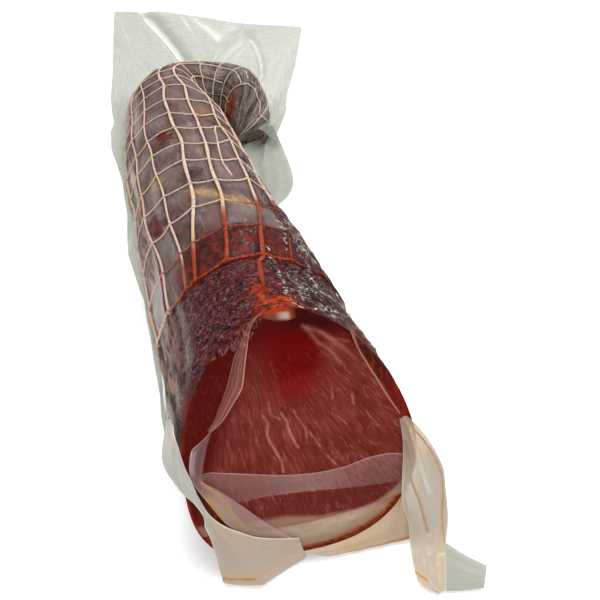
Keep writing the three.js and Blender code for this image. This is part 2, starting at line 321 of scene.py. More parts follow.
# %% [markdown]
# ## Relief
# Dried meat is never smooth. Small waves in random directions, summed, give a surface noise
# that numpy works out for a whole mesh at once. Under the cords the meat is nipped in, and
# between them it swells, which is what makes the pillows of a netted loin.


# %% Noise and relief
def ripples(points, size, seed, stretch=(1, 1, 1), waves=28):
    """Random waves about size millimetres long, with values of about -1 to 1."""
    rng = np.random.default_rng(seed)
    directions = rng.normal(size=(waves, 3))
    directions /= np.linalg.norm(directions, axis=1, keepdims=True)
    pitch = 2 * math.pi / size * rng.uniform(0.6, 1.5, waves)
    phase = rng.uniform(0, 2 * math.pi, waves)
    stretched = points / np.asarray(stretch)
    total = np.zeros(points.shape[:-1])
    for direction, rate, start in zip(directions, pitch, phase):
        total += np.sin(stretched @ direction * rate + start)
    return total / math.sqrt(waves / 2)


def ridge(value, at, width):
    """1 where the value is at a place, falling off within a width on both sides."""
    return np.exp(-(((value - at) / width) ** 2))


straight_radius = 39
pillow_height = 0.9


def straightened(s, number):
    """Where a place of the skin would be if the loin were a straight round bar."""
    turn = 2 * math.pi * number / string_count
    return np.stack([straight_radius * np.cos(turn), straight_radius * np.sin(turn), s + 0 * turn], -1)


def netted(s, number):
    """1 inside the net, 0 on the bare stretch in front of its hem."""
    return smoothstep(s - ring_shift(number, first_ring), first_ring - 2, first_ring + 3)


def cords_over(s, number, around):
    """Distances to the cords, with the strings fading out towards the tip."""
    string, ring = net_distances(s, number, around)
    return string + 6 * smoothstep(s, loin_length - 75, loin_length - 30), ring


def meat_relief(s, number, around):
    """Millimetres that the meat stands out: pillows in the cells, nipped in under the cords."""
    string, ring = cords_over(s, number, around)
    nip = ridge(string, 0, 2.0) + 0.8 * ridge(ring, 0, 1.8)
    pillow = (1 - ridge(string, 0, 6)) * (1 - ridge(ring, 0, 7))
    bar = straightened(s, number)
    upper = smoothstep(np.sin(2 * math.pi * number / string_count), -0.75, -0.3)
    fine = 0.22 * ripples(bar, 5, 11, (1, 1, 2.6)) + 0.25 * ripples(bar, 16, 12, (1, 1, 1.6))
    inside_net = netted(s, number)
    return upper * (inside_net * pillow_height * (pillow - np.clip(nip, 0, 1)) + 0.7 * fine)


print("the meat swells by up to", pillow_height, "mm between the cords")

# %% [markdown]
# ## Meshes from rows of points
# A loft along a bent line with changing sections is beyond extrude or spin. What works is the
# flat grid primitive: it is added with as many rows and columns as wanted, and each of its
# points is laid where the loin's own functions say. Rolled round, its last column meets the
# first and is merged, and rows that shrink to a point close the ends.


# %% Lay a grid
def lay_grid(name, points, finishes, finish_rows=None, marks=None):
    """A grid primitive laid on rows of points, with one finish for each band of rows."""
    rows, columns = points.shape[:2]
    bpy.ops.object.select_all(action="DESELECT")
    bpy.ops.mesh.primitive_grid_add(x_subdivisions=columns - 1, y_subdivisions=rows - 1, size=1)
    piece = bpy.context.object
    piece.name = piece.data.name = name
    mesh = piece.data
    flat = np.empty(len(mesh.vertices) * 3)
    mesh.vertices.foreach_get("co", flat)
    flat = flat.reshape(-1, 3)
    column = np.rint((flat[:, 0] + 0.5) * (columns - 1)).astype(int)
    row = np.rint((flat[:, 1] + 0.5) * (rows - 1)).astype(int)
    placed = (points[row, column] + cut_foot) * mm
    mesh.vertices.foreach_set("co", placed.ravel())
    for key, values in (marks or {}).items():
        kind = "FLOAT_VECTOR" if values.ndim == 3 else "FLOAT"
        mark = mesh.attributes.new(key, kind, "POINT")
        field = "vector" if values.ndim == 3 else "value"
        mark.data.foreach_set(field, values[row, column].astype(np.float32).ravel())
    for finish in finishes:
        mesh.materials.append(finish)
    if finish_rows:
        corners = np.empty(len(mesh.loops), int)
        mesh.loops.foreach_get("vertex_index", corners)
        lowest = row[corners].reshape(-1, 4).min(1)
        mesh.polygons.foreach_set("material_index", np.digitize(lowest, finish_rows).astype(np.int32))
    mesh.update()
    return piece


# %% [markdown]
# ## Finishing a piece
# A grid rolled round still has an open seam and rows of points on one spot, so doubles are
# merged and the faces turned outwards. An open sheet gets a wall first, which makes it a
# solid, as real film is. Then the piece is handed over: it rides on the loin's root, and the
# imported solids it stands for are hidden.

# %% Tidy, join, thicken and hand over
merge_within = 0.004
sliver_size = 0.001


def select_only(*pieces):
    """Selects these and nothing else, with the first one active."""
    bpy.ops.object.select_all(action="DESELECT")
    for piece in pieces:
        piece.select_set(True)
    bpy.context.view_layer.objects.active = pieces[0]


def tidy_mesh(piece, smooth_angle):
    """Merges seams and poles, turns the faces outwards and shades the piece smooth."""
    select_only(piece)
    bpy.ops.object.mode_set(mode="EDIT")
    bpy.ops.mesh.select_all(action="SELECT")
    bpy.ops.mesh.remove_doubles(threshold=merge_within * mm)
    bpy.ops.mesh.dissolve_degenerate(threshold=sliver_size * mm)
    bpy.ops.mesh.normals_make_consistent(inside=False)
    bpy.ops.mesh.select_all(action="DESELECT")
    bpy.ops.object.mode_set(mode="OBJECT")
    bpy.ops.object.shade_smooth_by_angle(angle=math.radians(smooth_angle))
    print(f"{piece.name}: {sum(len(p.vertices) - 2 for p in piece.data.polygons)} triangles")
    return piece


def join_pieces(pieces, name):
    """One object of several."""
    select_only(*pieces)
    bpy.ops.object.join()
    joined = bpy.context.object
    joined.name = joined.data.name = name
    return joined


def thicken(piece, thickness):
    """A wall of even thickness on an open sheet."""
    wall = piece.modifiers.new("wall", "SOLIDIFY")
    wall.thickness = thickness * mm
    wall.offset = 0
    wall.use_even_offset = False
    select_only(piece)
    bpy.ops.object.modifier_apply(modifier="wall")
    return piece


def stand_for(piece, slot_name, *nodes):
    """Lets a piece ride with the loin and hides the nodes it stands for; slot_name is not used."""
    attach(piece, "root")
    if nodes:
        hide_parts(*nodes)
    return piece


# %% [markdown]
# ## Shader arithmetic
# Finishes are easier to read as formulas than as boxes and wires. `Wire` stands for one
# output of a node: adding or multiplying two wires adds the Math node for it. `step` turns a
# value into a soft mask and `bell` into a thin line, the two shapes most finishes are made of.


# %% Wires
class Wire:
    """One output socket of a material, with arithmetic on values."""

    def __init__(self, finish, socket):
        self.finish = finish
        self.socket = socket

    def math(self, operation, *values):
        inputs = dict(enumerate(values))
        return self.finish.node("Math", {"operation": operation}, inputs)

    def __add__(self, other):
        return self.math("ADD", self, other)

    def __sub__(self, other):
        return self.math("SUBTRACT", self, other)

    def __rsub__(self, other):
        return self.math("SUBTRACT", other, self)

    def __mul__(self, other):
        return self.math("MULTIPLY", self, other)

    def __truediv__(self, other):
        return self.math("DIVIDE", self, other)

    def __pow__(self, other):
        return self.math("POWER", self, other)

    __radd__ = __add__
    __rmul__ = __mul__

    def clamped(self):
        return self.math("MINIMUM", self.math("MAXIMUM", self, 0.0), 1.0)

    def bell(self):
        """1 where the value is 0, falling off on both sides."""
        return self.math("EXPONENT", self * self * -1.0)

    def step(self, low, high):
        """0 below low, 1 above high and smooth between; low may be above high."""
        ends = {"From Min": low, "From Max": high}
        return self.finish.node("MapRange", {"interpolation_type": "SMOOTHSTEP"}, {"Value": self, **ends})


# %% [markdown]
# ## Paint and finishes
# A `Finish` is one material. Its method `node` makes a node and wires it up, and the short
# methods after it are the few that come up again and again. A stroke draws a line through a few
# places, which noise can't do: it takes the distance to each stretch between two places and
# keeps the least.


# %% Paint and finishes
def paint(red, green, blue):
    """A colour given as it looks on a screen, 0 to 255, as the linear values that nodes use."""
    def linear(value):
        share = value / 255
        return share / 12.92 if share <= 0.04045 else ((share + 0.055) / 1.055) ** 2.4
    return (linear(red), linear(green), linear(blue), 1.0)


class Finish:
    """A material and the nodes in it."""

    def __init__(self, name):
        self.material = bpy.data.materials.new(name)
        self.material.use_nodes = True
        self.tree = self.material.node_tree
        self.tree.nodes.clear()

    def node(self, kind, settings=None, inputs=None, output=0):
        made = self.tree.nodes.new("ShaderNode" + kind)
        for key, value in (settings or {}).items():
            setattr(made, key, value)
        for key, value in (inputs or {}).items():
            if isinstance(value, Wire):
                self.tree.links.new(value.socket, made.inputs[key])
            else:
                made.inputs[key].default_value = value
        return Wire(self, made.outputs[output])

    def mark(self, name, output="Fac"):
        return self.node("Attribute", {"attribute_name": name}, output=output)

    def scaled(self, vector, by):
        return self.node("VectorMath", {"operation": "MULTIPLY"}, {0: vector, 1: by})

    def apart(self, vector):
        parts = self.node("SeparateXYZ", None, {0: vector})
        owner = parts.socket.node
        return [Wire(self, owner.outputs[k]) for k in range(3)]

    def flat(self, x, y, seed):
        return self.node("CombineXYZ", None, {0: x, 1: y, 2: seed})

    def noise(self, vector, detail=3.0, roughness=0.5, distortion=0.0):
        given = {"Scale": 1.0, "Detail": detail, "Roughness": roughness, "Distortion": distortion}
        return self.node("TexNoise", None, {"Vector": vector, **given})

    def noise_in(self, vector, by, *given):
        """Noise on a vector whose three parts are first made larger or smaller."""
        return self.noise(self.scaled(vector, by), *given)

    def stroke(self, place, knots, width):
        """1 on the line drawn through the knots, fading within a width to 0."""
        knots = [(*knot, 0.0)[:3] for knot in knots]
        nearest = None
        for start, end in zip(knots[:-1], knots[1:]):
            ahead = np.subtract(end, start)
            off = self.node("VectorMath", {"operation": "SUBTRACT"}, {0: place, 1: tuple(start)})
            rate = tuple(ahead / (ahead @ ahead))
            share = self.node("VectorMath", {"operation": "DOT_PRODUCT"}, {0: off, 1: rate}, output=1)
            foot = self.node("VectorMath", {"operation": "SCALE"}, {0: tuple(ahead), 3: share.clamped()})
            away = self.node("VectorMath", {"operation": "DISTANCE"}, {0: off, 1: foot}, output=1)
            nearest = away if nearest is None else away.math("MINIMUM", nearest, away)
        return (nearest / width).bell()

    def strokes(self, place, lines):
        """Lines given as knots, width and strength, drawn and added up."""
        drawn = 0.0
        for knots, width, strength in lines:
            drawn = self.stroke(place, knots, width) * strength + drawn
        return drawn

    def mix(self, share, first, second):
        """Colours: first where share is 0, second where it is 1."""
        return self.node("Mix", {"data_type": "RGBA"}, {0: share, 6: first, 7: second}, output=2)

    def bump(self, height, distance, strength):
        given = {"Height": height, "Distance": distance, "Strength": strength}
        return self.node("Bump", None, given)

    def body(self, settings):
        return self.node("BsdfPrincipled", None, settings)

    def mix_shader(self, share, first, second):
        return self.node("MixShader", None, {0: share, 1: first, 2: second})

    def done(self, shader):
        end = self.tree.nodes.new("ShaderNodeOutputMaterial")
        self.tree.links.new(shader.socket, end.inputs["Surface"])
        print(f"{self.material.name}: {len(self.tree.nodes)} nodes")
        return self.material


# %% [markdown]
# ## The skin
# Where the bag touches the loin the skin is wet and dark, a maroon nearly black, freckled
# with lilac grey and streaked along the grain. Paprika stains it orange near the top of the
# cut. The streaks follow the muscle, so the noise is read in the straightened bar, long
# along the loin and short across it.

# %% Finish of the skin
def skin_finish():
    finish = Finish("smoked_skin")
    bar = finish.mark("bar", "Vector")
    netted_part, flank, wet = finish.mark("netted"), finish.mark("flank"), finish.mark("wet")
    grain = finish.noise_in(bar, (0.34, 0.34, 0.18), 4, 0.65)
    fleck = finish.noise_in(bar, (0.75, 0.75, 0.42), 3, 0.68, 1.2)
    crack = finish.noise_in(bar, (0.6, 0.6, 0.3), 2, 0.5, 1.0)
    patch = finish.noise_in(bar, (0.06, 0.06, 0.045), 3, 0.6)
    streak = finish.noise_in(bar, (0.5, 0.5, 0.05), 3, 0.6, 0.5)
    bare = finish.mix(grain.step(0.4, 0.62), paint(16, 5, 9), paint(66, 20, 23))
    bare = finish.mix(patch.step(0.48, 0.62) * 0.5, bare, paint(46, 24, 34))
    bare = finish.mix(crack.step(0.54, 0.6) * 0.7, bare, paint(126, 44, 30))
    bare = finish.mix(fleck.step(0.54, 0.63) * 0.75, bare, paint(134, 104, 112))
    mauve = finish.mix(grain.step(0.34, 0.64), paint(54, 32, 34), paint(96, 68, 68))
    mauve = finish.mix(patch.step(0.5, 0.64) * 0.6, mauve, paint(98, 44, 34))
    mauve = finish.mix(patch.step(0.44, 0.34) * 0.6, mauve, paint(36, 22, 26))
    mauve = finish.mix(streak.step(0.57, 0.68) * 0.45, mauve, paint(136, 112, 106))
    base = finish.mix(netted_part, bare, mauve)
    side = finish.mix(streak.step(0.42, 0.6), paint(54, 38, 36), paint(162, 134, 114))
    base = finish.mix(flank, base, side)
    dull = finish.mix(streak.step(0.4, 0.66), paint(22, 17, 14), paint(112, 98, 84))
    base = finish.mix(finish.mark("hook") * (patch.step(0.38, 0.5) * 0.4 + 0.6), base, dull)
    black = finish.mix(grain.step(0.46, 0.68), paint(22, 6, 5), paint(98, 24, 14))
    base = finish.mix(wet, base, black)
    red = finish.mix(grain.step(0.38, 0.62), paint(34, 6, 6), paint(112, 22, 12))
    red = finish.mix(fleck.step(0.58, 0.64) * 0.25, red, paint(150, 66, 52))
    stained = finish.mix(finish.mark("stain"), base, red)
    orange = finish.mix(grain.step(0.38, 0.62), paint(96, 20, 8), paint(180, 66, 18))
    paste = (finish.mark("paste") * 1.6 + (fleck - 0.5) * 1.6 + (grain - 0.5) * 1.2 - 0.35).clamped()
    pasted = finish.mix(paste, stained, orange)
    tan = finish.mix(grain.step(0.35, 0.65), paint(138, 100, 62), paint(190, 152, 100))
    streaked = finish.mix(finish.mark("tan"), pasted, tan)
    normal = finish.bump(grain + fleck * 0.7, 0.0007, 0.7)
    rough = grain.step(0.3, 0.7) * 0.2 + 0.42
    return finish.done(finish.body({
        "Base Color": streaked, "Roughness": rough, "Normal": normal, "Specular IOR Level": 0.03,
    }))


skin_material = skin_finish()

# %% [markdown]
# ## The cut lean
# The face shows muscle cut across: dark red, with pale threads of fat that fan out from the
# top left. Threads are noise read in polar coordinates about the fan's middle, stretched
# along the radius and kept only where it passes through its middle value, so that thin lines
# are left. The boldest ones are drawn through a few places each. Under them lie broad soft
# patches: a translucent blood-red glow above the middle, a pinker band at the upper right,
# and painted shade inside the pleat on the left and under the roof on the right, where fewer
# threads show.

# %% Coordinates of the cut
fan_middle = (-24, 122)
fan_arc = 80
fat_line_rise = 0.0016


def above_fat(across, up):
    """How far a place of the cut is above the line between lean and fat."""
    return up - fat_edge_height - (across * across) * fat_line_rise


class CutFace:
    """A place on the cut, straight and in the fan of the muscle, with noises on both."""

    def __init__(self, finish):
        self.finish = finish
        self.across, self.up, self.rim = finish.apart(finish.mark("cut", "Vector"))
        self.wave = self.noise(0.09, 0.09, 7.0, 2)
        self.jitter = self.noise(0.3, 0.3, 9.0, 3)
        self.cloud = self.noise(0.1, 0.1, 3.0, 3.0, 0.6)
        dx, dy = self.across - fan_middle[0], fan_middle[1] - self.up
        self.arc = dx.math("ARCTAN2", dx, dy) * fan_arc + (self.wave - 0.5) * 5.0
        self.out = (dx * dx + dy * dy) ** 0.5
        self.fibre = self.grain(0.75, 10.0, 11.0, 3.0)
        shaken_up = self.up + (self.wave - 0.5) * 3.0
        self.shaken = finish.flat(self.across + (self.jitter - 0.5) * 1.8, shaken_up, 0.0)

    def noise(self, across_scale, up_scale, seed, *given):
        at = self.finish.flat(self.across * across_scale, self.up * up_scale, seed)
        return self.finish.noise(at, *given)

    def grain(self, width, length, seed, detail=2.0):
        """Noise in millimetres across the fibres and along them."""
        at = self.finish.flat(self.arc / width, self.out / length, seed)
        return self.finish.noise(at, detail, 0.5, 0.15)

    def thread(self, width, length, seed, fine):
        """Thin lines, where the grain passes through its middle value."""
        return ((self.grain(width, length, seed) - 0.5) / fine).bell()

    def spot(self, x, y, wide, high):
        sx, sy = (self.across - x) / wide, (self.up - y) / high
        return sx.math("EXPONENT", (sx * sx + sy * sy) * -1.0)


# %% Reds of the cut lean
pale_slips = [
    ([(8, 82), (12.6, 75.4), (17.4, 70.8), (20.5, 66)], 0.8, 1.0),
    ([(9.6, 81.3), (18.3, 75.7), (26.3, 66.7)], 0.9, 0.8),
    ([(14, 78), (24.7, 73.5)], 0.7, 0.7),
]


def lean_colour(finish, face):
    """The meat's reds with the glow and painted shade in the pocket and under the roof; returns the colour
    and the three masks.
    """
    across, up, cloud, fibre = face.across, face.up, face.cloud, face.fibre
    lean = finish.mix(fibre.step(0.34, 0.66), paint(102, 32, 27), paint(132, 58, 51))
    lean = finish.mix(cloud.step(0.62, 0.4) * 0.7, lean, paint(98, 33, 28))
    lean = finish.mix(up.step(24, 15) * 0.6, lean, paint(90, 34, 29))
    lean = finish.mix(up.step(62, 80) * (fibre * 0.3 + 0.75), lean, paint(80, 3, 4))
    glow = (face.spot(3.5, 72, 11, 11) * 1.5 + face.spot(-1, 60, 9, 6) * 0.7).clamped()
    blood = finish.mix(up.step(68, 58), paint(97, 0, 0), paint(116, 18, 8))
    lean = finish.mix((glow * (cloud * 0.7 + fibre * 0.5 + 0.35)).clamped(), lean, blood)
    # painted shade: the meat in the pocket under the pleat is darkened
    pocket = (across + 23 + (up - 56) * -0.45).step(3, -6)
    lean = finish.mix(pocket * 0.95, lean, paint(74, 6, 6))
    # painted shade: the meat under the roof, below the film near the right shoulder, is darkened
    roof = (face.spot(20, 86, 20, 6) * 1.8).clamped()
    lean = finish.mix(roof * 0.95, lean, paint(52, 5, 5))
    slip = finish.strokes(face.shaken, pale_slips) + face.spot(19, 71.5, 5, 4) * 0.45
    slip = (slip * (fibre * 1.5 + face.jitter * 0.6 - 0.35)).clamped()
    return finish.mix(slip * 0.75, lean, paint(158, 88, 80)), pocket, glow, roof


# %% Fat in the cut lean
bold_threads = [
    ([(-12.7, 51.4), (-11.1, 48.1), (-12.3, 44.1), (-10.5, 38.2), (-8.5, 34), (-8.3, 30.3)], 0.5, 1.0),
    ([(-9.6, 55.8), (-9.8, 51.6), (-6.7, 48.8)], 0.45, 0.7),
    ([(-5.6, 50.9), (-4, 46.4), (-3.7, 43.3), (-1.4, 37.8)], 0.55, 1.0),
    ([(-0.8, 51.2), (-0.1, 48.4), (2.3, 44.1), (2.6, 41)], 0.4, 0.7),
    ([(3.9, 41.9), (6.9, 36.4)], 0.4, 0.9),
    ([(9.4, 32.5), (11.2, 29.1)], 0.4, 0.9),
    ([(15.2, 56.9), (14.9, 52.8)], 0.45, 0.8),
    ([(22.7, 52.8), (22.6, 49.9)], 0.5, 0.8),
    ([(15.6, 46.3), (18.6, 42.7)], 0.4, 0.6),
    ([(27, 46), (31, 40)], 0.45, 0.6),
]


def marbling(face, pocket, glow, roof):
    """Share of fat at each place: fine and middling threads from noise, the bold ones drawn."""
    few = face.noise(0.07, 0.07, 21.0, 2.0).step(0.42, 0.56)
    some = face.noise(0.13, 0.13, 31.0, 2.0).step(0.4, 0.58)
    broken = face.grain(2.0, 6.0, 51.0).step(0.44, 0.58)
    fine = face.thread(1.5, 8.0, 1.0, 0.03) * some * broken * 0.22
    middling = face.thread(3.0, 20.0, 5.0, 0.016) * few * broken * 0.28
    bold = face.finish.strokes(face.shaken, bold_threads) * (broken * 0.3 + 0.4)
    # fewer threads where shade is painted in the pocket and under the roof, and in the glow
    share = (fine + middling + bold).clamped() * (1 - pocket * 0.85) * (1 - glow * 0.7)
    return share * (1 - roof * 0.8) * face.up.step(82, 66)


def fat_at_foot(finish, face, colour):
    """The lean's lower edge: a pale wedge on the right and a blurred line along the fat."""
    across, up = face.across, face.up
    wedge_rise = across.math("MAXIMUM", across - 12.0, 0.0)
    wedge = (wedge_rise * wedge_rise * 0.0145 + 9.3 - up).step(-1.4, 0.9) * across.step(14, 24)
    colour = finish.mix(wedge * 0.9, colour, paint(164, 130, 110))
    line = above_fat(across, up) - across.step(8, -12) * 2.6 + (face.wave - 0.5) * 2.0
    return finish.mix(line.step(1.6, -0.6) * 0.8, colour, paint(158, 122, 103))


# %% [markdown]
# ## The rim of the cut
# The dried skin shows as a thin crust round the meat. On the right it is wider and redder,
# because the flank wraps over the edge there, and at the upper left a flap of skin is tucked
# over the cut. These are bands at a distance from the rim, which the mesh carries as the
# third number of its cut coordinates, so they follow the outline whatever its shape.

# %% Rim of the cut lean
def rim_of_lean(finish, face, colour):
    """The thin crust round the cut, and the wider wrapped rim on the right."""
    across, up = face.across, face.up
    crust = finish.mix(up.step(75, 20), paint(60, 14, 12), paint(140, 42, 14))
    edge = (face.rim + (face.cloud - 0.5) * 1.6).step(1.4, 0.2)
    colour = finish.mix(edge * 0.85, colour, crust)
    right_rim = (across - 39.5 + (up - 45) * 0.46).step(-0.6, 0.8) * up.step(33, 40)
    wrapped = finish.mix((up + across * -0.2).step(64, 32), paint(60, 12, 7), paint(112, 16, 4))
    spots = face.noise(0.5, 0.16, 71.0, 3, 0.6)
    wrapped = finish.mix(spots.step(0.48, 0.66) * 0.6, wrapped, paint(150, 46, 10))
    wrapped = finish.mix(spots.step(0.44, 0.34) * 0.4, wrapped, paint(56, 12, 6))
    return finish.mix(right_rim * 0.96, colour, wrapped)


def tucked_skin(finish, face, colour, pocket):
    """The flap of skin over the cut's upper left, and streaks of paprika in the pocket."""
    across, up = face.across, face.up
    over = (up - 77.6 - (across + 14.8) * 0.21 + (face.jitter - 0.5) * 2.0).step(-0.3, 0.4)
    over = over * (across + 7.0 + (up - 87.3) * -0.8).step(0.5, -0.5)
    freckles = face.noise(0.55, 0.34, 81.0, 3, 0.65, 1.0)
    tucked = finish.mix(freckles.step(0.4, 0.62), paint(46, 14, 16), paint(132, 72, 68))
    colour = finish.mix(over, colour, tucked)
    streaks = freckles.step(0.5, 0.64) * pocket * (1 - over)
    return finish.mix(streaks * 0.35, colour, paint(120, 30, 16))


def lean_finish():
    finish = Finish("cut_lean")
    face = CutFace(finish)
    lean, pocket, glow, roof = lean_colour(finish, face)
    fat_share = marbling(face, pocket, glow, roof)
    colour = finish.mix(fat_share, lean, paint(184, 114, 104))
    colour = fat_at_foot(finish, face, colour)
    colour = rim_of_lean(finish, face, colour)
    colour = tucked_skin(finish, face, colour, pocket)
    normal = finish.bump(fat_share + face.fibre * 0.5, 0.0003, 0.4)
    return finish.done(finish.body({
        "Base Color": colour, "Roughness": 0.5, "Normal": normal, "Specular IOR Level": 0.05,
    }))


lean_material = lean_finish()

# %% [markdown]
# ## Fat
# The back fat is ivory with a faint grain, warmer towards the rind, which is a thin line of
# burnt orange where the paprika soaked in. The lump in the top of the cut is the same fat,
# pale in its middle and stained at its edges, with painted shade darkening its right end as
# under the roof. One finish serves both, because the height of a place on the cut tells which
# of the two it belongs to.

# %% Finish of the fat
def foot_fat_colour(finish, across, up, rim, cloud):
    """The layer along the foot, from the ivory inside to the burnt rind."""
    ivory = finish.mix(cloud.step(0.3, 0.7), paint(166, 142, 122), paint(184, 162, 142))
    warm = finish.mix(rim.step(7.0, 2.0) * 0.8, ivory, paint(138, 110, 84))
    warm = finish.mix(across.step(12, 34) * 0.5, warm, paint(156, 124, 102))
    meaty = above_fat(across, up).step(-1.8, 0.4) * up.step(40, 30)
    warm = finish.mix(meaty * 0.55, warm, paint(160, 92, 80))
    grain = finish.noise(finish.flat(across * 0.5, up * 1.3, 2.0), 3.0, 0.7)
    stain = finish.mix(grain.step(0.38, 0.62), paint(116, 60, 34), paint(150, 72, 24))
    soaked = finish.mix((rim + (cloud - 0.5) * 2.4).step(2.8, 1.2), warm, stain)
    char = finish.mix(grain.step(0.36, 0.66), paint(80, 24, 12), paint(148, 48, 14))
    return finish.mix((rim + (grain - 0.5) * 2.4).step(2.2, 0.8) * 0.95, soaked, char)


def lump_colour(finish, across, up, rim, cloud, foot_fat):
    """The lump in the roof, laid over the foot's colour where a place is that high."""
    in_top = up.step(60, 66)
    lump_fat = finish.mix(across.step(-2.6, 2.0), paint(116, 62, 54), paint(182, 156, 140))
    pale = finish.mix(in_top, foot_fat, lump_fat)
    off_middle = (across - 1.0) * (across - 1.0)
    depth = (rim - 1.0) / (4.6 - off_middle * 0.042)
    pale = finish.mix(depth.step(0.42, 0.2) * in_top, pale, paint(168, 54, 16))
    low_edge = (depth + (cloud - 0.5) * 0.4).step(0.66, 0.95) * in_top
    pale = finish.mix(low_edge * 0.95, pale, paint(92, 14, 14))
    pale = finish.mix(across.step(2.4, 4.6) * in_top, pale, paint(122, 56, 26))
    # painted shade: the right end of the lump darkened like the shade under the roof
    pale = finish.mix(across.step(4.2, 6.6) * in_top, pale, paint(56, 8, 7))
    return finish.mix(across.step(-5.4, -7.0) * in_top, pale, paint(124, 34, 22))


def fat_finish():
    finish = Finish("cured_fat")
    across, up, rim = finish.apart(finish.mark("cut", "Vector"))
    cloud = finish.noise(finish.flat(across * 0.12, up * 0.3, 4.0), 3.0, 0.6)
    foot_fat = foot_fat_colour(finish, across, up, rim, cloud)
    pale = lump_colour(finish, across, up, rim, cloud, foot_fat)
    return finish.done(finish.body({
        "Base Color": pale, "Roughness": 0.45, "Specular IOR Level": 0.06,
        "Normal": finish.bump(cloud, 0.0003, 0.3),
    }))


fat_material = fat_finish()

# %% [markdown]
# ## Where the skin is stained
# Paste of garlic and paprika has stained the skin at the top of the cut, under the net's hem
# and in some cells; the right flank is wet, the left one pale. These could be painted on an
# image, but that would tie them to one mesh. Here they are numbers kept on the points of the
# mesh, each a soft spot at a distance from the cut and a string number, so that a mark stays
# where it is when the shape changes.


# %% Marks of the skin
def spot_on_skin(s, number, at_s, at_number, long, wide):
    """A soft oval spot, long along the loin in millimetres and wide in string numbers."""
    return np.exp(-(((s - at_s) / long) ** 2) - (wrap(number - at_number) / wide) ** 2)


def patch_on_skin(s, number, s_from, s_to, number_from, number_to, soft=2.0):
    """A patch between two distances and two string numbers, with edges eaten by noise."""
    blur = ripples(straightened(s, number), 7, 33)
    s = s + 2.5 * blur
    number = number + 0.12 * blur
    along = smoothstep(s, s_from, s_from + soft) * smoothstep(s, s_to, s_to - soft)
    round_it = smoothstep(number, number_from, number_from + 0.12)
    return along * round_it * smoothstep(number, number_to, number_to - 0.12)


def wet_side(s, number):
    """The right flank, where the film lies wet and crumpled."""
    edge = 2.25 + 1.05 * smoothstep(s, 102, 92) + 0.2 * smoothstep(s, 142, 112)
    near = smoothstep(number, edge, edge - 0.2) * smoothstep(s, 330, 240)
    under = smoothstep(number, 12.4, 13.2) * smoothstep(s, 320, 230) * smoothstep(s, 3, 25)
    return np.clip(np.maximum(near, under), 0, 1)


def hook_top(s, number):
    """The upper side of the folded end, where the film is creased and shines."""
    return smoothstep(s, 490, 515) * smoothstep(number, 1.5, 2.6) * smoothstep(number, 7.5, 6.5)


bare_cells = [(285, 309, 4.35, 5.15), (171, 194, 5.45, 6.2)]


# %% [markdown]
# All the marks are worked out at once, from the same places. Where two stains meet, the
# stronger one counts, because paste on paste doesn't get redder.


# %% All marks of the skin
def skin_marks(s, number):
    """Every mark of the skin, at distances and string numbers."""
    bar = straightened(s, number)
    blur = 0.5 + 0.5 * ripples(bar, 22, 31)
    collar = smoothstep(s, 96, 102) * smoothstep(s - ring_shift(number, ring_places[1]), 135, 132)
    collar = collar * smoothstep(number, 5.9, 5.5) * smoothstep(number, 2.0, 2.6)
    stain = np.maximum.reduce([
        0.95 * collar,
        0.9 * patch_on_skin(s, number, *bare_cells[0]),
        0.8 * patch_on_skin(s, number, *bare_cells[1]),
        0.75 * patch_on_skin(s, number, 150, 170, 4.7, 5.5) * np.clip(blur, 0, 1),
        0.75 * spot_on_skin(s, number, 50, 3.6, 46, 0.6) * (0.4 + blur),
        0.7 * smoothstep(s, 42, 18) * smoothstep(number, 6.8, 7.4) * smoothstep(number, 12.8, 12),
        0.4 * spot_on_skin(s, number, 220, 2.6, 30, 0.5),
        0.85 * smoothstep(s, 11, 2) * (0.6 + 0.6 * blur),
    ])
    drift = 168 + 24 * np.clip(number - 3.4, 0, 2)
    tan = ridge(s, drift, 6) * smoothstep(number, 4.7, 4.3) * smoothstep(number, 2.3, 2.8)
    tan = np.maximum(tan, 0.35 * spot_on_skin(s, number, 345, 2.6, 14, 0.5))
    tan = np.maximum(tan, 0.5 * spot_on_skin(s, number, 232, 5.4, 12, 0.35))
    paste = np.maximum.reduce([
        spot_on_skin(s, number, 12, 3.62, 13, 0.5),
        0.8 * spot_on_skin(s, number, 36, 3.85, 22, 0.2),
        0.5 * spot_on_skin(s, number, 112, 4.0, 7, 0.5) * blur,
        0.75 * ridge(s, drift, 5) * smoothstep(number, 3.2, 2.7) * smoothstep(number, 2.0, 2.4),
        0.95 * spot_on_skin(s, number, 577, 0.5, 20, 2.2),
    ])
    flank = smoothstep(number, 5.6, 7.0) * smoothstep(number, 9.2, 8.2) * smoothstep(s, 6, 34)
    return {
        "bar": bar, "stain": np.clip(stain, 0, 1), "paste": np.clip(paste, 0, 1), "tan": 0.9 * tan,
        "netted": netted(s, number), "flank": 0.75 * flank, "wet": 0.9 * wet_side(s, number),
        "hook": 0.85 * smoothstep(s, 478, 515),
    }


# %% [markdown]
# ## Rings of points
# Lean, back fat and film are all closed rings of points, one ring for each station along the
# loin. A solid cut at the fat line would do for a rough shape, but rings spread the points
# evenly over the skin, where the relief needs them. Rows that shrink towards the middle make
# the cut face, and the same at the far end closes the tip.


# %% Rings of the loin
def fat_line(s, count, lift):
    """Points of the line between lean and fat, from left to right, in section coordinates."""
    left = section(s, np.full_like(s, fat_edge_angle(-1)))
    right = section(s, np.full_like(s, fat_edge_angle(1)))
    share = np.linspace(-1, 1, count)[None, :]
    dip = fat_dip * taper(s) * rounding(s)
    half = (share + 1) / 2
    x = left[0][:, None] + (right[0] - left[0])[:, None] * half
    y = left[1][:, None] + (right[1] - left[1])[:, None] * half
    return x, y - dip[:, None] * (1 - share**2) + lift


def spread(s, like):
    """One distance for each row, given to every point of the row."""
    return s[:, None] + 0 * like


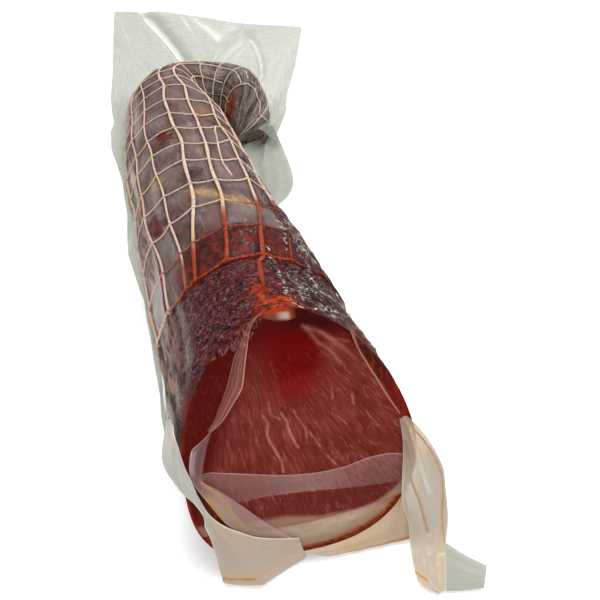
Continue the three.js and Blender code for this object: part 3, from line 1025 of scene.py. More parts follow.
def skin_run(s, start, end, count, lift_of):
    """Angles from start to end, evenly spaced along the skin, and the points there."""
    fine = np.linspace(start, end, 181)
    x, y = section(s[:, None], fine[None, :])
    lengths = np.cumsum(np.hypot(np.diff(x), np.diff(y)), 1)
    lengths = np.concatenate([np.zeros((len(s), 1)), lengths], 1)
    wanted = np.linspace(0, 1, count)
    angle = np.array([np.interp(wanted, row / row[-1], fine) for row in lengths])
    number = numbers_of(s, angle)
    around = round_tables(s)[1][:, None]
    lift = lift_of(spread(s, number), number, around)
    return (*section(spread(s, angle), angle, lift), number)


# %% Rows of a closed ring
def ring_rows(s, x, y, marks, middle, cap_shares, tip_shares, skin_line=None):
    """Rows of points for the caps and the length of a closed ring, with their marks."""
    level = widest_level(s)
    shares = np.concatenate([cap_shares, np.ones(len(s)), tip_shares])
    index = np.concatenate([
        np.zeros(len(cap_shares), int), np.arange(len(s)), np.full(len(tip_shares), len(s) - 1),
    ])
    mid_x, mid_y = middle
    shrink = shares[:, None]
    across = mid_x + (x[index] - mid_x) * shrink
    up = mid_y[index][:, None] + (y[index] - mid_y[index][:, None]) * shrink
    points = place(spread(s[index], across), across, level[index][:, None] + up)
    slant = (points[..., 2] - loin_base) / math.cos(cut_tilt)
    rim = np.zeros(across.shape)
    if skin_line is not None:
        caps = len(cap_shares) + 1
        skin_x, skin_y = skin_line
        away = np.hypot(across[:caps, :, None] - skin_x, up[:caps, :, None] - skin_y)
        rim[:caps] = away.min(2)
    kept = {key: value[index] for key, value in marks.items()}
    kept["cut"] = np.stack([across, slant, rim], -1)
    return points, kept


station_step = 1.8
stations = np.linspace(0, loin_length, round(loin_length / station_step))
cap_shares = np.array([0, 0.2, 0.4, 0.6, 0.75, 0.87, 0.93, 0.96, 0.98, 0.99])
tip_shares = np.array([0.7, 0.35, 0])
print(len(stations), "stations along the loin")

# %% [markdown]
# ## The lean
# The lean is the muscle itself, with its dark dried skin. Its ring runs from the fat line on
# the right over the top to the fat line on the left, and back along the fat. The pillows
# between the cords are part of the ring, so they are real shape and not only shading. The
# relief fades out in front, because the knife left the edge of the cut clean.

# %% The lean meat
right_edge, left_edge = fat_edge_angle(1), fat_edge_angle(-1)
top_columns = 124
line_columns = 40
face_middle = 4.0


def lean_relief(s, number, around):
    return meat_relief(s, number, around) * smoothstep(s, 0, 14)


top_x, top_y, top_number = skin_run(stations, right_edge, left_edge, top_columns, lean_relief)
low_x, low_y = fat_line(stations, line_columns, -0.1)
lean_x = np.concatenate([top_x, low_x[:, 1:]], 1)
lean_y = np.concatenate([top_y, low_y[:, 1:]], 1)
lean_x[:, -1], lean_y[:, -1] = lean_x[:, 0], lean_y[:, 0]
line_number = np.linspace(top_number[:, -1], top_number[:, 0] + string_count, line_columns, axis=1)
lean_number = np.concatenate([top_number, np.mod(line_number[:, 1:], string_count)], 1)
points, marks = ring_rows(
    stations, lean_x, lean_y, skin_marks(spread(stations, lean_number), lean_number),
    (0.0, face_middle * rounding(stations)), cap_shares, tip_shares, (top_x[0], top_y[0]),
)
lean = lay_grid("lean_meat", points, [lean_material, skin_material], [len(cap_shares)], marks)
stand_for(tidy_mesh(lean, 40), "lean_meat", "loin_lean")

# %% [markdown]
# ## The back fat
# The fat lies under the lean as one layer through the whole length, with the rind outside.
# It is made as the lean is, from the left edge round below to the right edge and back along
# the same line, a fifth of a millimetre apart from the lean, so that the two never overlap.

# %% The back fat
fat_columns = 60
under_x, under_y, under_number = skin_run(
    stations, left_edge, right_edge + 2 * math.pi, fat_columns, lean_relief
)
roof_x, roof_y = fat_line(stations, fat_columns, 0.1)
fat_x = np.concatenate([under_x, roof_x[:, ::-1][:, 1:]], 1)
fat_y = np.concatenate([under_y, roof_y[:, ::-1][:, 1:]], 1)
fat_number = np.concatenate([under_number, under_number[:, ::-1][:, 1:]], 1)
half_way = fat_columns // 2
fat_middle = (0.0, (under_y[:, half_way] + roof_y[:, half_way]) / 2)
points, marks = ring_rows(
    stations, fat_x, fat_y, skin_marks(spread(stations, fat_number), fat_number),
    fat_middle, cap_shares, tip_shares, (under_x[0], under_y[0]),
)
fat = lay_grid("back_fat_layer", points, [fat_material, skin_material], [len(cap_shares)], marks)
stand_for(tidy_mesh(fat, 40), "pork_fat", "back_fat")

# %% [markdown]
# ## The lump of fat in the top
# A thin lens of white fat lies in the roof of the loin at the cut. Its ring goes out over
# the skin and back underneath, and its ends close on the line between the two. It stands a
# little proud of the meat, as soft fat does when a cut dries.

# %% The top fat
top_fat_left = -9
top_fat_right = 11
top_fat_depth = 4.2
top_fat_length = 58
lens_columns = 30
lens_rows = 40
proud_of_cut = 0.25


def top_angle(across):
    """Angle of a place on the upper side, from how far across it is."""
    return math.acos(math.copysign((abs(across) / (loin_width / 2)) ** (upper_power / 2), across))


lens_s = np.linspace(0.0, top_fat_length, lens_rows)
lens_share = 1 - np.linspace(-1, 1, lens_columns) ** 2
lens_depth = top_fat_depth * (1 - 0.6 * lens_s / top_fat_length)[:, None] * lens_share[None, :]
lens_at = spread(lens_s, lens_depth)
lens_angles = np.linspace(top_angle(top_fat_right), top_angle(top_fat_left), lens_columns) + 0 * lens_depth
lens_out = section(lens_at, lens_angles, 0.35)
lens_in = section(lens_at, lens_angles, 0.3 - lens_depth)
lens_x = np.concatenate([lens_out[0], lens_in[0][:, ::-1][:, 1:]], 1)
lens_y = np.concatenate([lens_out[1], lens_in[1][:, ::-1][:, 1:]], 1)
lens_number = numbers_of(lens_s, lens_angles)
lens_number = np.concatenate([lens_number, lens_number[:, ::-1][:, 1:]], 1)
half_way = lens_columns // 2
lens_middle = (0.0, (lens_out[1][:, half_way] + lens_in[1][:, half_way]) / 2)
lens_caps = np.array([0, 0.5, 0.9])
points, marks = ring_rows(
    lens_s, lens_x, lens_y, skin_marks(spread(lens_s, lens_number), lens_number),
    lens_middle, lens_caps, np.array([0]), (lens_out[0][0], lens_out[1][0]),
)
points[: len(lens_caps) + 1, :, 1] -= proud_of_cut
marks["cut"][..., 2] += 1.0
top_fat = lay_grid("top_fat_lens", points, [fat_material, skin_material], [len(lens_caps)], marks)
stand_for(tidy_mesh(top_fat, 40), "pork_fat", "top_fat")
print("the lump of fat is", round(float(lens_depth.max()), 1), "mm deep at the cut")

# %% [markdown]
# ## Cords
# A cord of the net is knitted, so its edge is uneven and it is flatter than round. Each one
# is a grid rolled round a path on the skin, with its width breathing along the stitches.
# Rings pass over the strings and pull a little where they cross.


# %% Finish of the cords
def cord_finish():
    finish = Finish("net_cord")
    bar = finish.mark("bar", "Vector")
    thread = finish.noise_in(bar, (1.6, 1.6, 1.6), 3, 0.6)
    patch = finish.noise_in(bar, (0.08, 0.08, 0.05), 2)
    cream = finish.mix(thread.step(0.32, 0.68), paint(176, 150, 131), paint(224, 204, 183))
    cream = finish.mix(patch.step(0.54, 0.66) * 0.5, cream, paint(214, 168, 106))
    orange = finish.mix(thread.step(0.36, 0.66), paint(98, 24, 10), paint(172, 68, 34))
    blush = finish.mix(finish.mark("blush") * patch.step(0.6, 0.4), cream, paint(216, 158, 146))
    dyed = finish.mix(finish.mark("stain"), blush, orange)
    dyed = finish.mix(finish.mark("dark"), dyed, paint(74, 16, 10))
    return finish.done(finish.body({
        "Base Color": dyed, "Roughness": 0.62, "Specular IOR Level": 0.1,
        "Normal": finish.bump(thread, 0.0004, 0.6),
    }))


cord_material = cord_finish()

# %% A cord on the skin
def on_skin(s, number, lift):
    """Points over the skin along a path, given station by station."""
    angle = angles_of(s, number[:, None])[:, 0]
    return skin(s, angle, lift)


def cord(name, s, number, lift, half_width, half_height, sides, marks):
    """One cord, rolled round its path, with every mark of the path carried round it."""
    path = on_skin(s, number, lift)
    outward = on_skin(s, number, lift + 1.0) - path
    outward /= np.linalg.norm(outward, axis=1, keepdims=True)
    ahead = np.gradient(path, axis=0)
    ahead /= np.linalg.norm(ahead, axis=1, keepdims=True)
    sideways = np.cross(ahead, outward)
    turn = np.linspace(0, 2 * math.pi, sides + 1)
    wide = np.broadcast_to(half_width, s.shape)[:, None, None] * np.cos(turn)[None, :, None]
    high = np.broadcast_to(half_height, s.shape)[:, None, None] * np.sin(turn)[None, :, None]
    rows = path[:, None] + sideways[:, None] * wide + outward[:, None] * high
    ends = [np.repeat(path[k][None, None], sides + 1, 1) for k in (0, -1)]
    rows = np.concatenate([ends[0], rows, ends[1]])

    def rolled(values):
        values = np.concatenate([values[:1], values, values[-1:]])
        return np.repeat(values[:, None], sides + 1, 1)

    return lay_grid(name, rows, [cord_material], marks={key: rolled(marks[key]) for key in marks})


def cord_marks(s, number):
    """Where paprika has dyed a cord, where it is pinker, and where it lies dark and wet."""
    number = np.mod(number, string_count)
    stain_edge = 178 - 17 * (number - 2.6)
    stain = smoothstep(s, stain_edge + 8, stain_edge - 10) * smoothstep(number, 5.9, 5.4)
    stain = stain * smoothstep(number, 0.4, 1.6)
    blush = smoothstep(number, 4.5, 6.5) * smoothstep(number, 9, 8)
    dark = 0.85 * smoothstep(number, 2.7, 2.2) * smoothstep(s, 200, 150)
    return {"bar": straightened(s, number), "stain": stain, "blush": 0.5 * blush + 0.2, "dark": dark}


# %% [markdown]
# ## Strings along the loin
# Fourteen strings run from the hem to the folded end. Those that face the light on top are
# half as wide again as the rest, because the knit has spread there. Each string starts where it
# meets the hem's ring, and every second one ends earlier, as the net is gathered at the tip.
# Their width breathes with the stitches, which tell a knitted cord from a smooth wire.

# %% Strings along the loin
net_height = 0.75
string_step = 1.25
stitch_length = 3.1
spread_half_width = 0.95
string_half_width = 0.62


def hem_meets(k):
    """Where string k reaches the ring at the hem."""
    s = first_ring
    for _ in range(6):
        s = first_ring + float(ring_shift(string_number(k, np.array(s)), first_ring))
    return s


def string_cord(name, s, number, width, height=0.62):
    """A string with its stitches, thinner and flatter towards the tip."""
    stitches = 1 + 0.15 * np.sin(s * 2 * math.pi / stitch_length + number)
    stitches = stitches + 0.12 * np.sin(s / 7 + 3 * number)
    stitches = stitches * (1 - 0.4 * smoothstep(s, 470, 500))
    height = height * (0.5 + 0.5 * smoothstep(s, loin_length, loin_length - 60))
    return cord(name, s, number, net_height, width * stitches, height, 7, cord_marks(s, number))


cords = []
for k in range(string_count):
    start = hem_meets(k)
    end = loin_length - (36 if k % 2 else 66)
    s = np.linspace(start, end, round((end - start) / string_step))
    on_top = 2 < string_number(k, np.array(200.0)) < 5.2
    width = spread_half_width if on_top else string_half_width
    cords.append(string_cord(f"string_{k}", s, string_number(k, s), width))

# %% [markdown]
# ## Two loose strings
# One slack string wanders through a cell of the net, and one hangs out of the hem over the
# bare end. They belong to the knit but keep to no number, so their way is given by a few
# places, each a distance and a string number.

# %% Two loose strings
slack_s = [205, 222, 253, 294, 312]
slack_number = [3.02, 3.11, 2.94, 2.74, 2.5]
s = np.linspace(slack_s[0], slack_s[-1], 86)
cords.append(string_cord("slack_string", s, np.interp(s, slack_s, slack_number), 0.55))

hem = hem_meets(2)
hanging_s = [38, 65, 90, hem]
hanging_number = [3.78, 3.66, 3.56, float(string_number(2, np.array(hem)))]
s = np.linspace(hanging_s[0], hem, 50)
number = np.interp(s, hanging_s, hanging_number)
cords.append(string_cord("hanging_string", s, number, 0.85 * smoothstep(s, 30, 62) + 0.2, 0.5))

# %% [markdown]
# ## Rings round the loin
# The rings hold the strings in place. A ring climbs over each string that it crosses and is
# pushed along a little there, which breaks the even grid that a machine would draw. The
# first one is the hem, the widest. All cords are then joined into one piece, the net.

# %% Rings round the loin
hem_size = (0.78, 0.6)
second_size = (0.66, 0.5)
ring_size = (0.56, 0.48)


def ring_cord(ring, size, stained):
    """A closed ring of a half width and half height, dyed orange on top where stained."""
    number = np.linspace(0, string_count, 190 if ring < bend_start else 150)
    s = ring + ring_shift(number, ring) + 0.5 * np.sin(number * 2.1 + ring)
    near = np.min([wrap(number - string_number(k, s)) for k in range(string_count)], 0)
    lift = net_height + 0.55 * ridge(near, 0, 0.12)
    s = s + 1.1 * ridge(near, 0, 0.2)
    marks = cord_marks(s, number)
    on_top = smoothstep(number, 6.6, 5.8) * smoothstep(number, 1.2, 2.0)
    marks["stain"] = np.maximum(marks["stain"], stained * on_top)
    return cord(f"ring_{ring:.0f}", s, number, lift, *size, 6, marks)


cords.append(ring_cord(ring_places[0], hem_size, 0.9))
cords.append(ring_cord(ring_places[1], second_size, 0.9))
cords += [ring_cord(ring, ring_size, 0.0) for ring in ring_places[2:-1]]
print(len(cords), "cords in the net")
net = join_pieces(cords, "net_cords")
stand_for(tidy_mesh(net, 60), "net_string", "netting")

# %% [markdown]
# ## Film
# The bag is clear, so what shows of it is light: a mirror-like gloss where it bends, and a
# milky veil where it stands off the meat and traps a little air. A mirror and a white body
# are mixed with a transparent shader; the veil is a mark on the mesh, and the gloss follows
# the viewing angle as it does on any plastic. The bright lines on crests, drawn folds and
# edges are painted highlights: there the white body is made near-white and more opaque.


# %% Finish of the film
def crests_and_painted_glints(finish, bar, wet, fine, folds):
    """Crests of crumpled film, as bump heights and as painted highlight lines: two sizes from noise, and
    the folds that are drawn.
    """
    fold = finish.noise_in(bar, (0.12, 0.12, 0.06), 2, 0.5, 1.8)
    part = finish.noise_in(bar, (0.06, 0.06, 0.05), 2)
    small = finish.noise_in(bar, (0.24, 0.24, 0.12), 2, 0.5, 1.6)
    crest_and_painted_glint = ((fold - 0.5) * 52.0).bell() * wet * part.step(0.5, 0.56) * 0.7
    crest_and_painted_glint = crest_and_painted_glint + ((small - 0.5) * 72.0).bell() * wet * fold.step(0.5, 0.56) * 0.7
    jolt_at = finish.scaled(bar, (0.3, 0.3, 0.16))
    jolt = finish.node("TexNoise", None, {"Vector": jolt_at, "Scale": 1.0}, output=1)
    jolt = finish.node("VectorMath", {"operation": "SUBTRACT"}, {0: jolt, 1: (0.5, 0.5, 0.5)})
    by = {0: jolt, 1: (5.0, 5.0, 8.0), 2: bar}
    shaken = finish.node("VectorMath", {"operation": "MULTIPLY_ADD"}, by)
    return crest_and_painted_glint + finish.strokes(shaken, folds) * (fine.step(0.4, 0.6) + 0.2)


def film_finish(name, wave_scale, calm, crumpled, most_shine, tint, warm, clear, folds=()):
    """A film between clear and milky; calm and crumpled are the heights of its waves."""
    finish = Finish(name)
    bar = finish.mark("bar", "Vector")
    wet, shiny, veil = finish.mark("wet"), finish.mark("shine"), finish.mark("veil")
    crease, painted_gleam = finish.mark("crease"), finish.mark("painted_gleam")
    wave = finish.noise_in(bar, wave_scale, 3, 0.5, 0.4)
    fine = finish.noise_in(bar, (0.5, 0.5, 0.3), 3, 0.6, 1.0)
    streak = finish.noise_in(bar, (0.3, 0.3, 0.03), 3, 0.6, 0.3)
    crest_and_painted_glint = crests_and_painted_glints(finish, bar, wet, fine, folds)
    height = wave * (wet * (crumpled - calm) + calm) + (fine * wet * 0.25 + crest_and_painted_glint) * crumpled
    normal = finish.bump(height, mm, 1.0)
    milk = finish.mix(streak.step(0.42, 0.62) * 0.35 + finish.mark("warmth") * 0.65, tint, warm)
    # painted highlight: on crests and gleams the film's body is made near-white
    milk = finish.mix((crest_and_painted_glint + painted_gleam).clamped(), milk, paint(244, 242, 236))
    colour = finish.mix(crease, milk, paint(166, 122, 52))
    body = finish.body({"Base Color": colour, "Roughness": 0.4, "Specular IOR Level": 0.3})
    mirror = finish.body({
        "Base Color": paint(252, 253, 252), "Metallic": 1.0, "Roughness": 0.12, "Normal": normal,
    })
    clear_film = finish.node("BsdfTransparent", None, {"Color": clear})
    # painted highlight: crests and gleams also make the white body more opaque
    cloudy = veil * (streak * 0.8 + 0.6) + crease * 0.7 + painted_gleam * 0.7
    cloudy = cloudy + crest_and_painted_glint * (fine.step(0.38, 0.54) * 0.7)
    veiled = finish.mix_shader(cloudy.clamped(), clear_film, body)
    bounce = finish.node("Fresnel", None, {"IOR": 1.45, "Normal": normal})
    shine = bounce.math("MINIMUM", bounce * shiny, shiny * most_shine)
    return finish.done(finish.mix_shader(shine, veiled, mirror))


# %% [markdown]
# ## Five films
# The same bag looks different where it clings, hangs loose, folds over itself or lies on the
# red meat. So one recipe makes five finishes, which differ in their waves and tints. The
# clinging film also gets its longest folds drawn on it, each through a few places of the
# skin, as bumps and as painted highlight lines, because a real bag has only a few such folds
# and each one catches the light.

# %% Films
def along_skin(*knots):
    """Knots given as distances and string numbers, as places of the straightened bar."""
    s, number = np.array(knots, float).T
    return straightened(s, number)


# painted highlights: each fold is a bright line in the film's body as well as a bump
folds_and_painted_glints = [
    (along_skin((112, 3.22), (88, 3.23), (66, 3.25), (49, 3.28), (24, 3.36), (8, 3.32)), 0.5, 0.7),
    (along_skin((8, 3.32), (3, 3.22), (1, 3.0), (7, 2.77), (2, 2.6), (1, 2.4), (3, 2.1), (6, 1.9)),
     0.7, 0.6),
    (along_skin((189, 2.21), (157, 2.21), (138, 2.32), (116, 2.63), (104, 2.77)), 0.45, 0.6),
    (along_skin((66, 2.86), (45, 2.94), (18, 3.08)), 0.4, 0.5),
    (along_skin((106, 2.16), (97, 2.18), (75, 2.27), (53, 2.41), (40, 2.5)), 0.6, 0.7),
    (along_skin((114, 2.3), (124, 1.96), (118, 1.82), (111, 1.68), (109, 1.37)), 0.6, 0.6),
    (along_skin((20, 2.75), (20, 2.5), (19, 2.25)), 1.6, 0.45),
    (along_skin((60, 2.0), (35, 1.75), (18, 1.5)), 0.8, 0.4),
    (along_skin((552, 3.64), (559, 3.78), (568, 3.92)), 0.9, 0.7),
    (along_skin((555, 3.16), (561, 3.1), (572, 3.4), (577, 3.8)), 0.8, 0.6),
    (along_skin((543, 2.0), (555, 1.9), (566, 1.8)), 0.6, 0.4),
]
tight_material = film_finish(
    "tight_film", (0.22, 0.22, 0.06), 0.3, 1.2, 0.007,
    paint(222, 216, 211), paint(222, 206, 192), paint(253, 253, 252), folds_and_painted_glints,
)
loose_material = film_finish(
    "loose_film", (0.05, 0.05, 0.02), 0.12, 1.2, 0.003,
    paint(176, 178, 172), paint(186, 184, 168), paint(220, 222, 217),
)
milky_material = film_finish(
    "milky_film", (0.1, 0.1, 0.03), 0.15, 1.0, 0.003,
    paint(184, 187, 183), paint(194, 170, 146), paint(240, 236, 228),
)
folded_material = film_finish(
    "folded_film", (0.1, 0.1, 0.1), 0.4, 1.0, 0.008,
    paint(204, 172, 172), paint(206, 186, 162), paint(252, 242, 243),
)
pink_material = film_finish(
    "pink_film", (0.1, 0.1, 0.1), 0.4, 1.0, 0.008,
    paint(220, 156, 146), paint(226, 174, 142), paint(252, 240, 236),
)

# %% [markdown]
# ## The film that clings
# One closed skin follows the whole loin. It lies on the meat between the cords, climbs over
# each cord in a little tent, and crinkles along the right flank, where the bag had more film
# than it needed. Cloth pressed on by simulation would need a far finer mesh to find the cords,
# while the functions that laid them say exactly where each tent stands.

# %% Shape of the tight film
film_step = 1.75
film_columns = 221
film_gap = 0.35
tent_height = 0.95


def film_lift(s, number, around):
    """How far the film stands off the bare skin, over meat, cords and its own folds."""
    string, ring = cords_over(s, number, around)
    bar = straightened(s, number)
    meat = lean_relief(s, number, around)
    tent = np.maximum(ridge(string, 0, 2.5), 0.85 * ridge(ring, 0, 2.2))
    over = meat + film_gap + netted(s, number) * tent * (net_height + tent_height - meat)
    upper = smoothstep(np.sin(2 * math.pi * number / string_count), -0.8, -0.4)
    left = smoothstep(number, 5.2, 6.2) * smoothstep(number, 8.6, 7.6)
    long_waves = np.clip(ripples(bar, 7, 41, (1, 1, 9)), 0, 2)
    folds = 1.1 * (1 - np.clip(np.abs(ripples(bar, 12, 42, (1, 1, 2.4))) * 1.4, 0, 1))
    folds += 0.35 * (1 - np.clip(np.abs(ripples(bar, 7, 43, (1, 1, 1.5))), 0, 1))
    return over + upper * (0.45 * left * long_waves + wet_side(s, number) * folds)


film_s = np.linspace(0, loin_length + 1.2, round(loin_length / film_step))
film_s = np.minimum(film_s, loin_length)
film_number = np.linspace(0, string_count, film_columns) + np.zeros((len(film_s), 1))
film_angle = angles_of(film_s, film_number[:, :-1])
film_angle = np.concatenate([film_angle, film_angle[:, :1]], 1)
film_around = round_tables(film_s)[1][:, None]
film_at = spread(film_s, film_number)
lift = film_lift(film_at, np.mod(film_number, string_count), film_around)
lift[:, -1] = lift[:, 0]
film_x, film_y = section(film_at, film_angle, lift)
print("the film stands off the skin by up to", round(float(lift.max()), 1), "mm")

# %% [markdown]
# ## What shows on the clinging film
# In each cell a little air makes a veil, which is why the netted meat looks mauve. Where the
# film lies wet or on paste there is hardly any. The left flank has fine long streaks. These
# are marks on the points again, and over the cut the film is so tight that it has none.

# %% Marks of the tight film
def film_marks(s, number, around):
    """Veil, wet creases and shine of the clinging film."""
    string, ring = net_distances(s, number, around)
    number = np.mod(number, string_count)
    bar = straightened(s, number)
    cell = (1 - ridge(string, 0, 2.2)) * (1 - ridge(ring, 0, 2.0))
    collar = smoothstep(s - ring_shift(number, ring_places[1]), 136, 132)
    wet = wet_side(s, number)
    cling = np.clip(np.maximum.reduce([
        patch_on_skin(s, number, *bare_cells[0]),
        patch_on_skin(s, number, *bare_cells[1]),
        collar * smoothstep(number, 5.9, 5.5),
        wet,
    ]), 0, 1)
    left = smoothstep(number, 5.0, 6.4) * smoothstep(number, 9.0, 8.0)
    streaks = np.clip(ripples(bar, 9, 51, (1, 1, 10)), 0, 1.5)
    veil = netted(s, number) * cell * (0.088 + 0.03 * ripples(bar, 24, 52)) * (1 - 0.9 * cling)
    veil += left * (0.01 + 0.26 * np.clip(streaks - 0.25, 0, 1.2)) * smoothstep(s, 4, 40)
    creased = np.maximum(wet, 0.8 * hook_top(s, number))
    return {
        "bar": bar, "veil": np.clip(veil, 0, 0.8), "wet": creased, "crease": 0 * veil,
        "painted_gleam": 0 * veil, "warmth": 0.4 + 0 * veil, "shine": 0.5 + 0.3 * creased,
    }


film_cap = np.linspace(0, 0.985, 30)
face_gap = 0.5
points, marks = ring_rows(
    film_s, film_x, film_y, film_marks(film_at, np.mod(film_number, string_count), film_around),
    (0.0, face_middle * rounding(film_s)), film_cap, np.array([0.6, 0]),
)
cap_rows = len(film_cap) + 1
points[:cap_rows, :, 1] -= face_gap
marks["veil"][:cap_rows] = 0
marks["wet"][:cap_rows] = 0
marks["shine"][:cap_rows] = 0.02
marks["bar"][:cap_rows] = marks["cut"][:cap_rows] * np.array([0.4, 0.4, 0])
tight = lay_grid("bag_tight_film", points, [tight_material], marks=marks)
stand_for(tidy_mesh(tight, 80), "clear_film", "bag_film")

# %% [markdown]
# ## The loose film
# Past the loin the bag lies empty: a wide flap behind the folded end, narrow margins along
# both flanks, and two corners that turn under the foot of the cut. A cloth simulation gives
# soft drapes, but a vacuum bag is stiff and creased by hand. So each part is a sheet between
# two lines or more. Folds are ridges across the sheet, added along its own normal, and a thin
# wall makes it a closed solid.


# %% Sheets between two lines
def curve_through(knots, count):
    """Evenly spaced points on a smooth line through the knots."""
    knots = np.array(knots, float)
    reach = np.concatenate([[0], np.cumsum(np.linalg.norm(np.diff(knots, axis=0), axis=1))])
    slope = np.gradient(knots, reach, axis=0)
    at = np.linspace(0, reach[-1], count)
    i = np.clip(np.searchsorted(reach, at, side="right") - 1, 0, len(knots) - 2)
    span = (reach[i + 1] - reach[i])[:, None]
    u = (at - reach[i])[:, None] / span
    start, end = knots[i], knots[i + 1]
    return (
        start * (1 + 2 * u) * (1 - u) ** 2 + end * u * u * (3 - 2 * u)
        + span * (slope[i] * u * (1 - u) ** 2 + slope[i + 1] * u * u * (u - 1))
    )


def across_sheet(left, right, columns):
    """A sheet that goes straight across from each point of one line to the other's."""
    share = np.linspace(0, 1, columns)[None, :, None]
    return left[:, None] + (right - left)[:, None] * share


def pushed(rows, amount):
    """Moves each point of a sheet along the sheet's normal."""
    along = np.gradient(rows, axis=0)
    aside = np.gradient(rows, axis=1)
    normal = np.cross(aside, along)
    normal /= np.linalg.norm(normal, axis=-1, keepdims=True) + 1e-9
    return rows + normal * amount[..., None]


def rails(edges, rows, columns):
    """A sheet whose rows pass through the same share of each of its edges."""
    lines = np.stack([curve_through(edge, rows) for edge in edges], 1)
    return np.stack([curve_through(line, columns) for line in lines])


def shares(rows):
    """Share of the way along the sheet and across it, for each point."""
    along = np.linspace(0, 1, rows.shape[0])[:, None] + np.zeros(rows.shape[:2])
    across = np.linspace(0, 1, rows.shape[1])[None, :] + np.zeros(rows.shape[:2])
    return along, across


# %% A loose sheet of film
def loose_sheet(
    name, rows, veil, crease=0.0, painted_gleam=0.0, warmth=0.3, thickness=0.3, finish=loose_material
):
    """A walled piece of film; its marks are numbers, or one number for each point."""
    flat = np.full(rows.shape[:2], 1.0)
    along, across = shares(rows)
    long = np.linalg.norm(np.diff(rows, axis=0), axis=-1).sum(0).mean()
    wide = np.linalg.norm(np.diff(rows, axis=1), axis=-1).sum(1).mean()
    bar = np.stack([across * wide, 0 * across, along * long], -1)
    marks = {
        "bar": bar, "veil": flat * veil, "wet": flat * 0, "crease": np.clip(flat * crease, 0, 1),
        "painted_gleam": flat * painted_gleam, "warmth": flat * warmth, "shine": flat,
    }
    print(f"{name}: about {long:.0f} by {wide:.0f} mm of film")
    piece = lay_grid(name, rows, [finish], marks=marks)
    tidy_mesh(thicken(piece, thickness), 50)
    return stand_for(piece, "clear_film")


# %% [markdown]
# ## The outer margin and the flap
# One strip of empty bag starts at the left of the cut, follows the loin and widens behind the
# folded end to the flap, which stands up off the table. Its inner edge is the skin itself and
# its outer edge a list of places, each with the distance along the loin that it belongs to.
# Sharp creases fan out over the flap, with softer ones beside them, and painted highlights
# run along their crests and along part of the outer edge.

# %% The outer margin and the flap
margin_columns = 40
outer_edge = [
    (20, (-48.6, 42, 33)), (60, (-47.4, 72, 31)), (110, (-46.8, 118, 31)), (148, (-46.6, 150, 31)),
    (182, (-48.8, 180, 30)), (205, (-50.2, 205, 30)), (226, (-49, 226, 30)), (258, (-46.4, 262, 30)),
    (322, (-45.6, 324, 31)), (350, (-48, 356, 32)), (372, (-49, 380, 34)), (404, (-47.4, 414, 36)),
    (422, (-43.8, 430, 36)), (450, (-43, 462, 40)), (468, (-43, 482, 43)), (482, (-37, 522, 55)),
    (496, (-25, 598, 97)), (516, (68, 602, 86)), (538, (166, 600, 70)), (547, (146, 552, 49)),
    (556, (125, 505, 32)), (580, (103, 452, 14)), (590, (95, 436, 9)),
]
edge_s = np.array([knot[0] for knot in outer_edge], float)
edge_at = np.array([knot[1] for knot in outer_edge], float)


def outer_margin():
    """The strip, and the painted highlights along its creases and its outer edge."""
    s = np.concatenate([np.linspace(20, 480, 150), np.linspace(482, 590, 170)])
    edge = np.stack([np.interp(s, edge_s, edge_at[:, k]) for k in range(3)], 1)
    tight_edge = skin(s, np.full_like(s, math.pi), 0.9)
    rows = across_sheet(tight_edge, edge, margin_columns)
    share = np.linspace(0, 1, margin_columns)[None, :]
    far = smoothstep(s, 484, 500)[:, None]

    def fold(at, lean_over, width, height, low, high):
        """A crease that starts at a distance along the loin and leans over on its way out."""
        reach = smoothstep(share, low, low + 0.15) * smoothstep(share, high, high - 0.15)
        middle = at + lean_over * (1 - share)
        return height * np.exp(-(((s[:, None] - middle) / width) ** 2)) * reach

    push = far * (
        fold(501.7, 13, 1.3, 8, 0.2, 1.05) + fold(505.5, 13, 2.0, -4, 0.2, 1.05)
        + fold(523.7, 19.8, 1.1, 5, 0.2, 0.95) + fold(527.7, -12.5, 2.4, 4, 0.2, 0.95)
        + fold(488, 13, 2.2, 4, 0.1, 1.05) + 2.5 * np.sin(s[:, None] / 5 + 4 * share) * share
    )
    push = push + (1 - far) * 0.5 * np.sin(s[:, None] / 6.5 + 2 * share) * share
    # painted highlights: bright lines along the crests of the creases and near the outer edge
    painted_gleam = far * (
        1.5 * fold(501.7, 13, 1.0, 1, 0.3, 1.05) + 0.8 * fold(523.7, 19.8, 0.55, 1, 0.2, 0.95)
        + 0.4 * fold(527.7, -12.5, 1.3, 1, 0.3, 0.9) + 0.3 * fold(488, 13, 1.0, 1, 0.3, 0.95)
    )
    painted_gleam = painted_gleam + 0.5 * ridge(share, 1.0, 0.012) * smoothstep(s[:, None], 470, 500)
    return pushed(rows, push), painted_gleam


rows, painted_gleam = outer_margin()
loose_sheet("bag_far_flap", rows, 0.34, painted_gleam=painted_gleam)

# %% [markdown]
# ## The right margin
# On the right the bag is shorter and only a narrow fold of it lies along the foot of the
# flank. It hangs from the skin, so its three lines are the skin's own, lifted a little.

# %% The right margin
def right_margin():
    s = np.linspace(20, 330, 150)
    near = skin(s, np.full_like(s, 0.0), 2.2)
    away = skin(s, np.full_like(s, -0.35), 3.2 + 0.3 * np.sin(s / 17))
    low = skin(s, np.full_like(s, -0.9), 3.2)
    low[:, 2] = np.maximum(low[:, 2], 0.6)
    rows = rails([list(near), list(away), list(low)], 150, 18)
    along, across = shares(rows)
    return pushed(rows, 0.4 * np.sin(along * 60 + 3 * across) * across)


rows = right_margin()
loose_sheet("bag_right_margin", rows, 0.03 + 0.5 * ridge(shares(rows)[1], 0.0, 0.04), warmth=0.5)

# %% [markdown]
# ## Places in front of the cut
# The bag's near end is folded together in front of the cut and under it. What lies on the
# cut is easiest to place on the slanted face itself, by how far across and how far up the
# slant it is, and by how far it stands out from the meat.

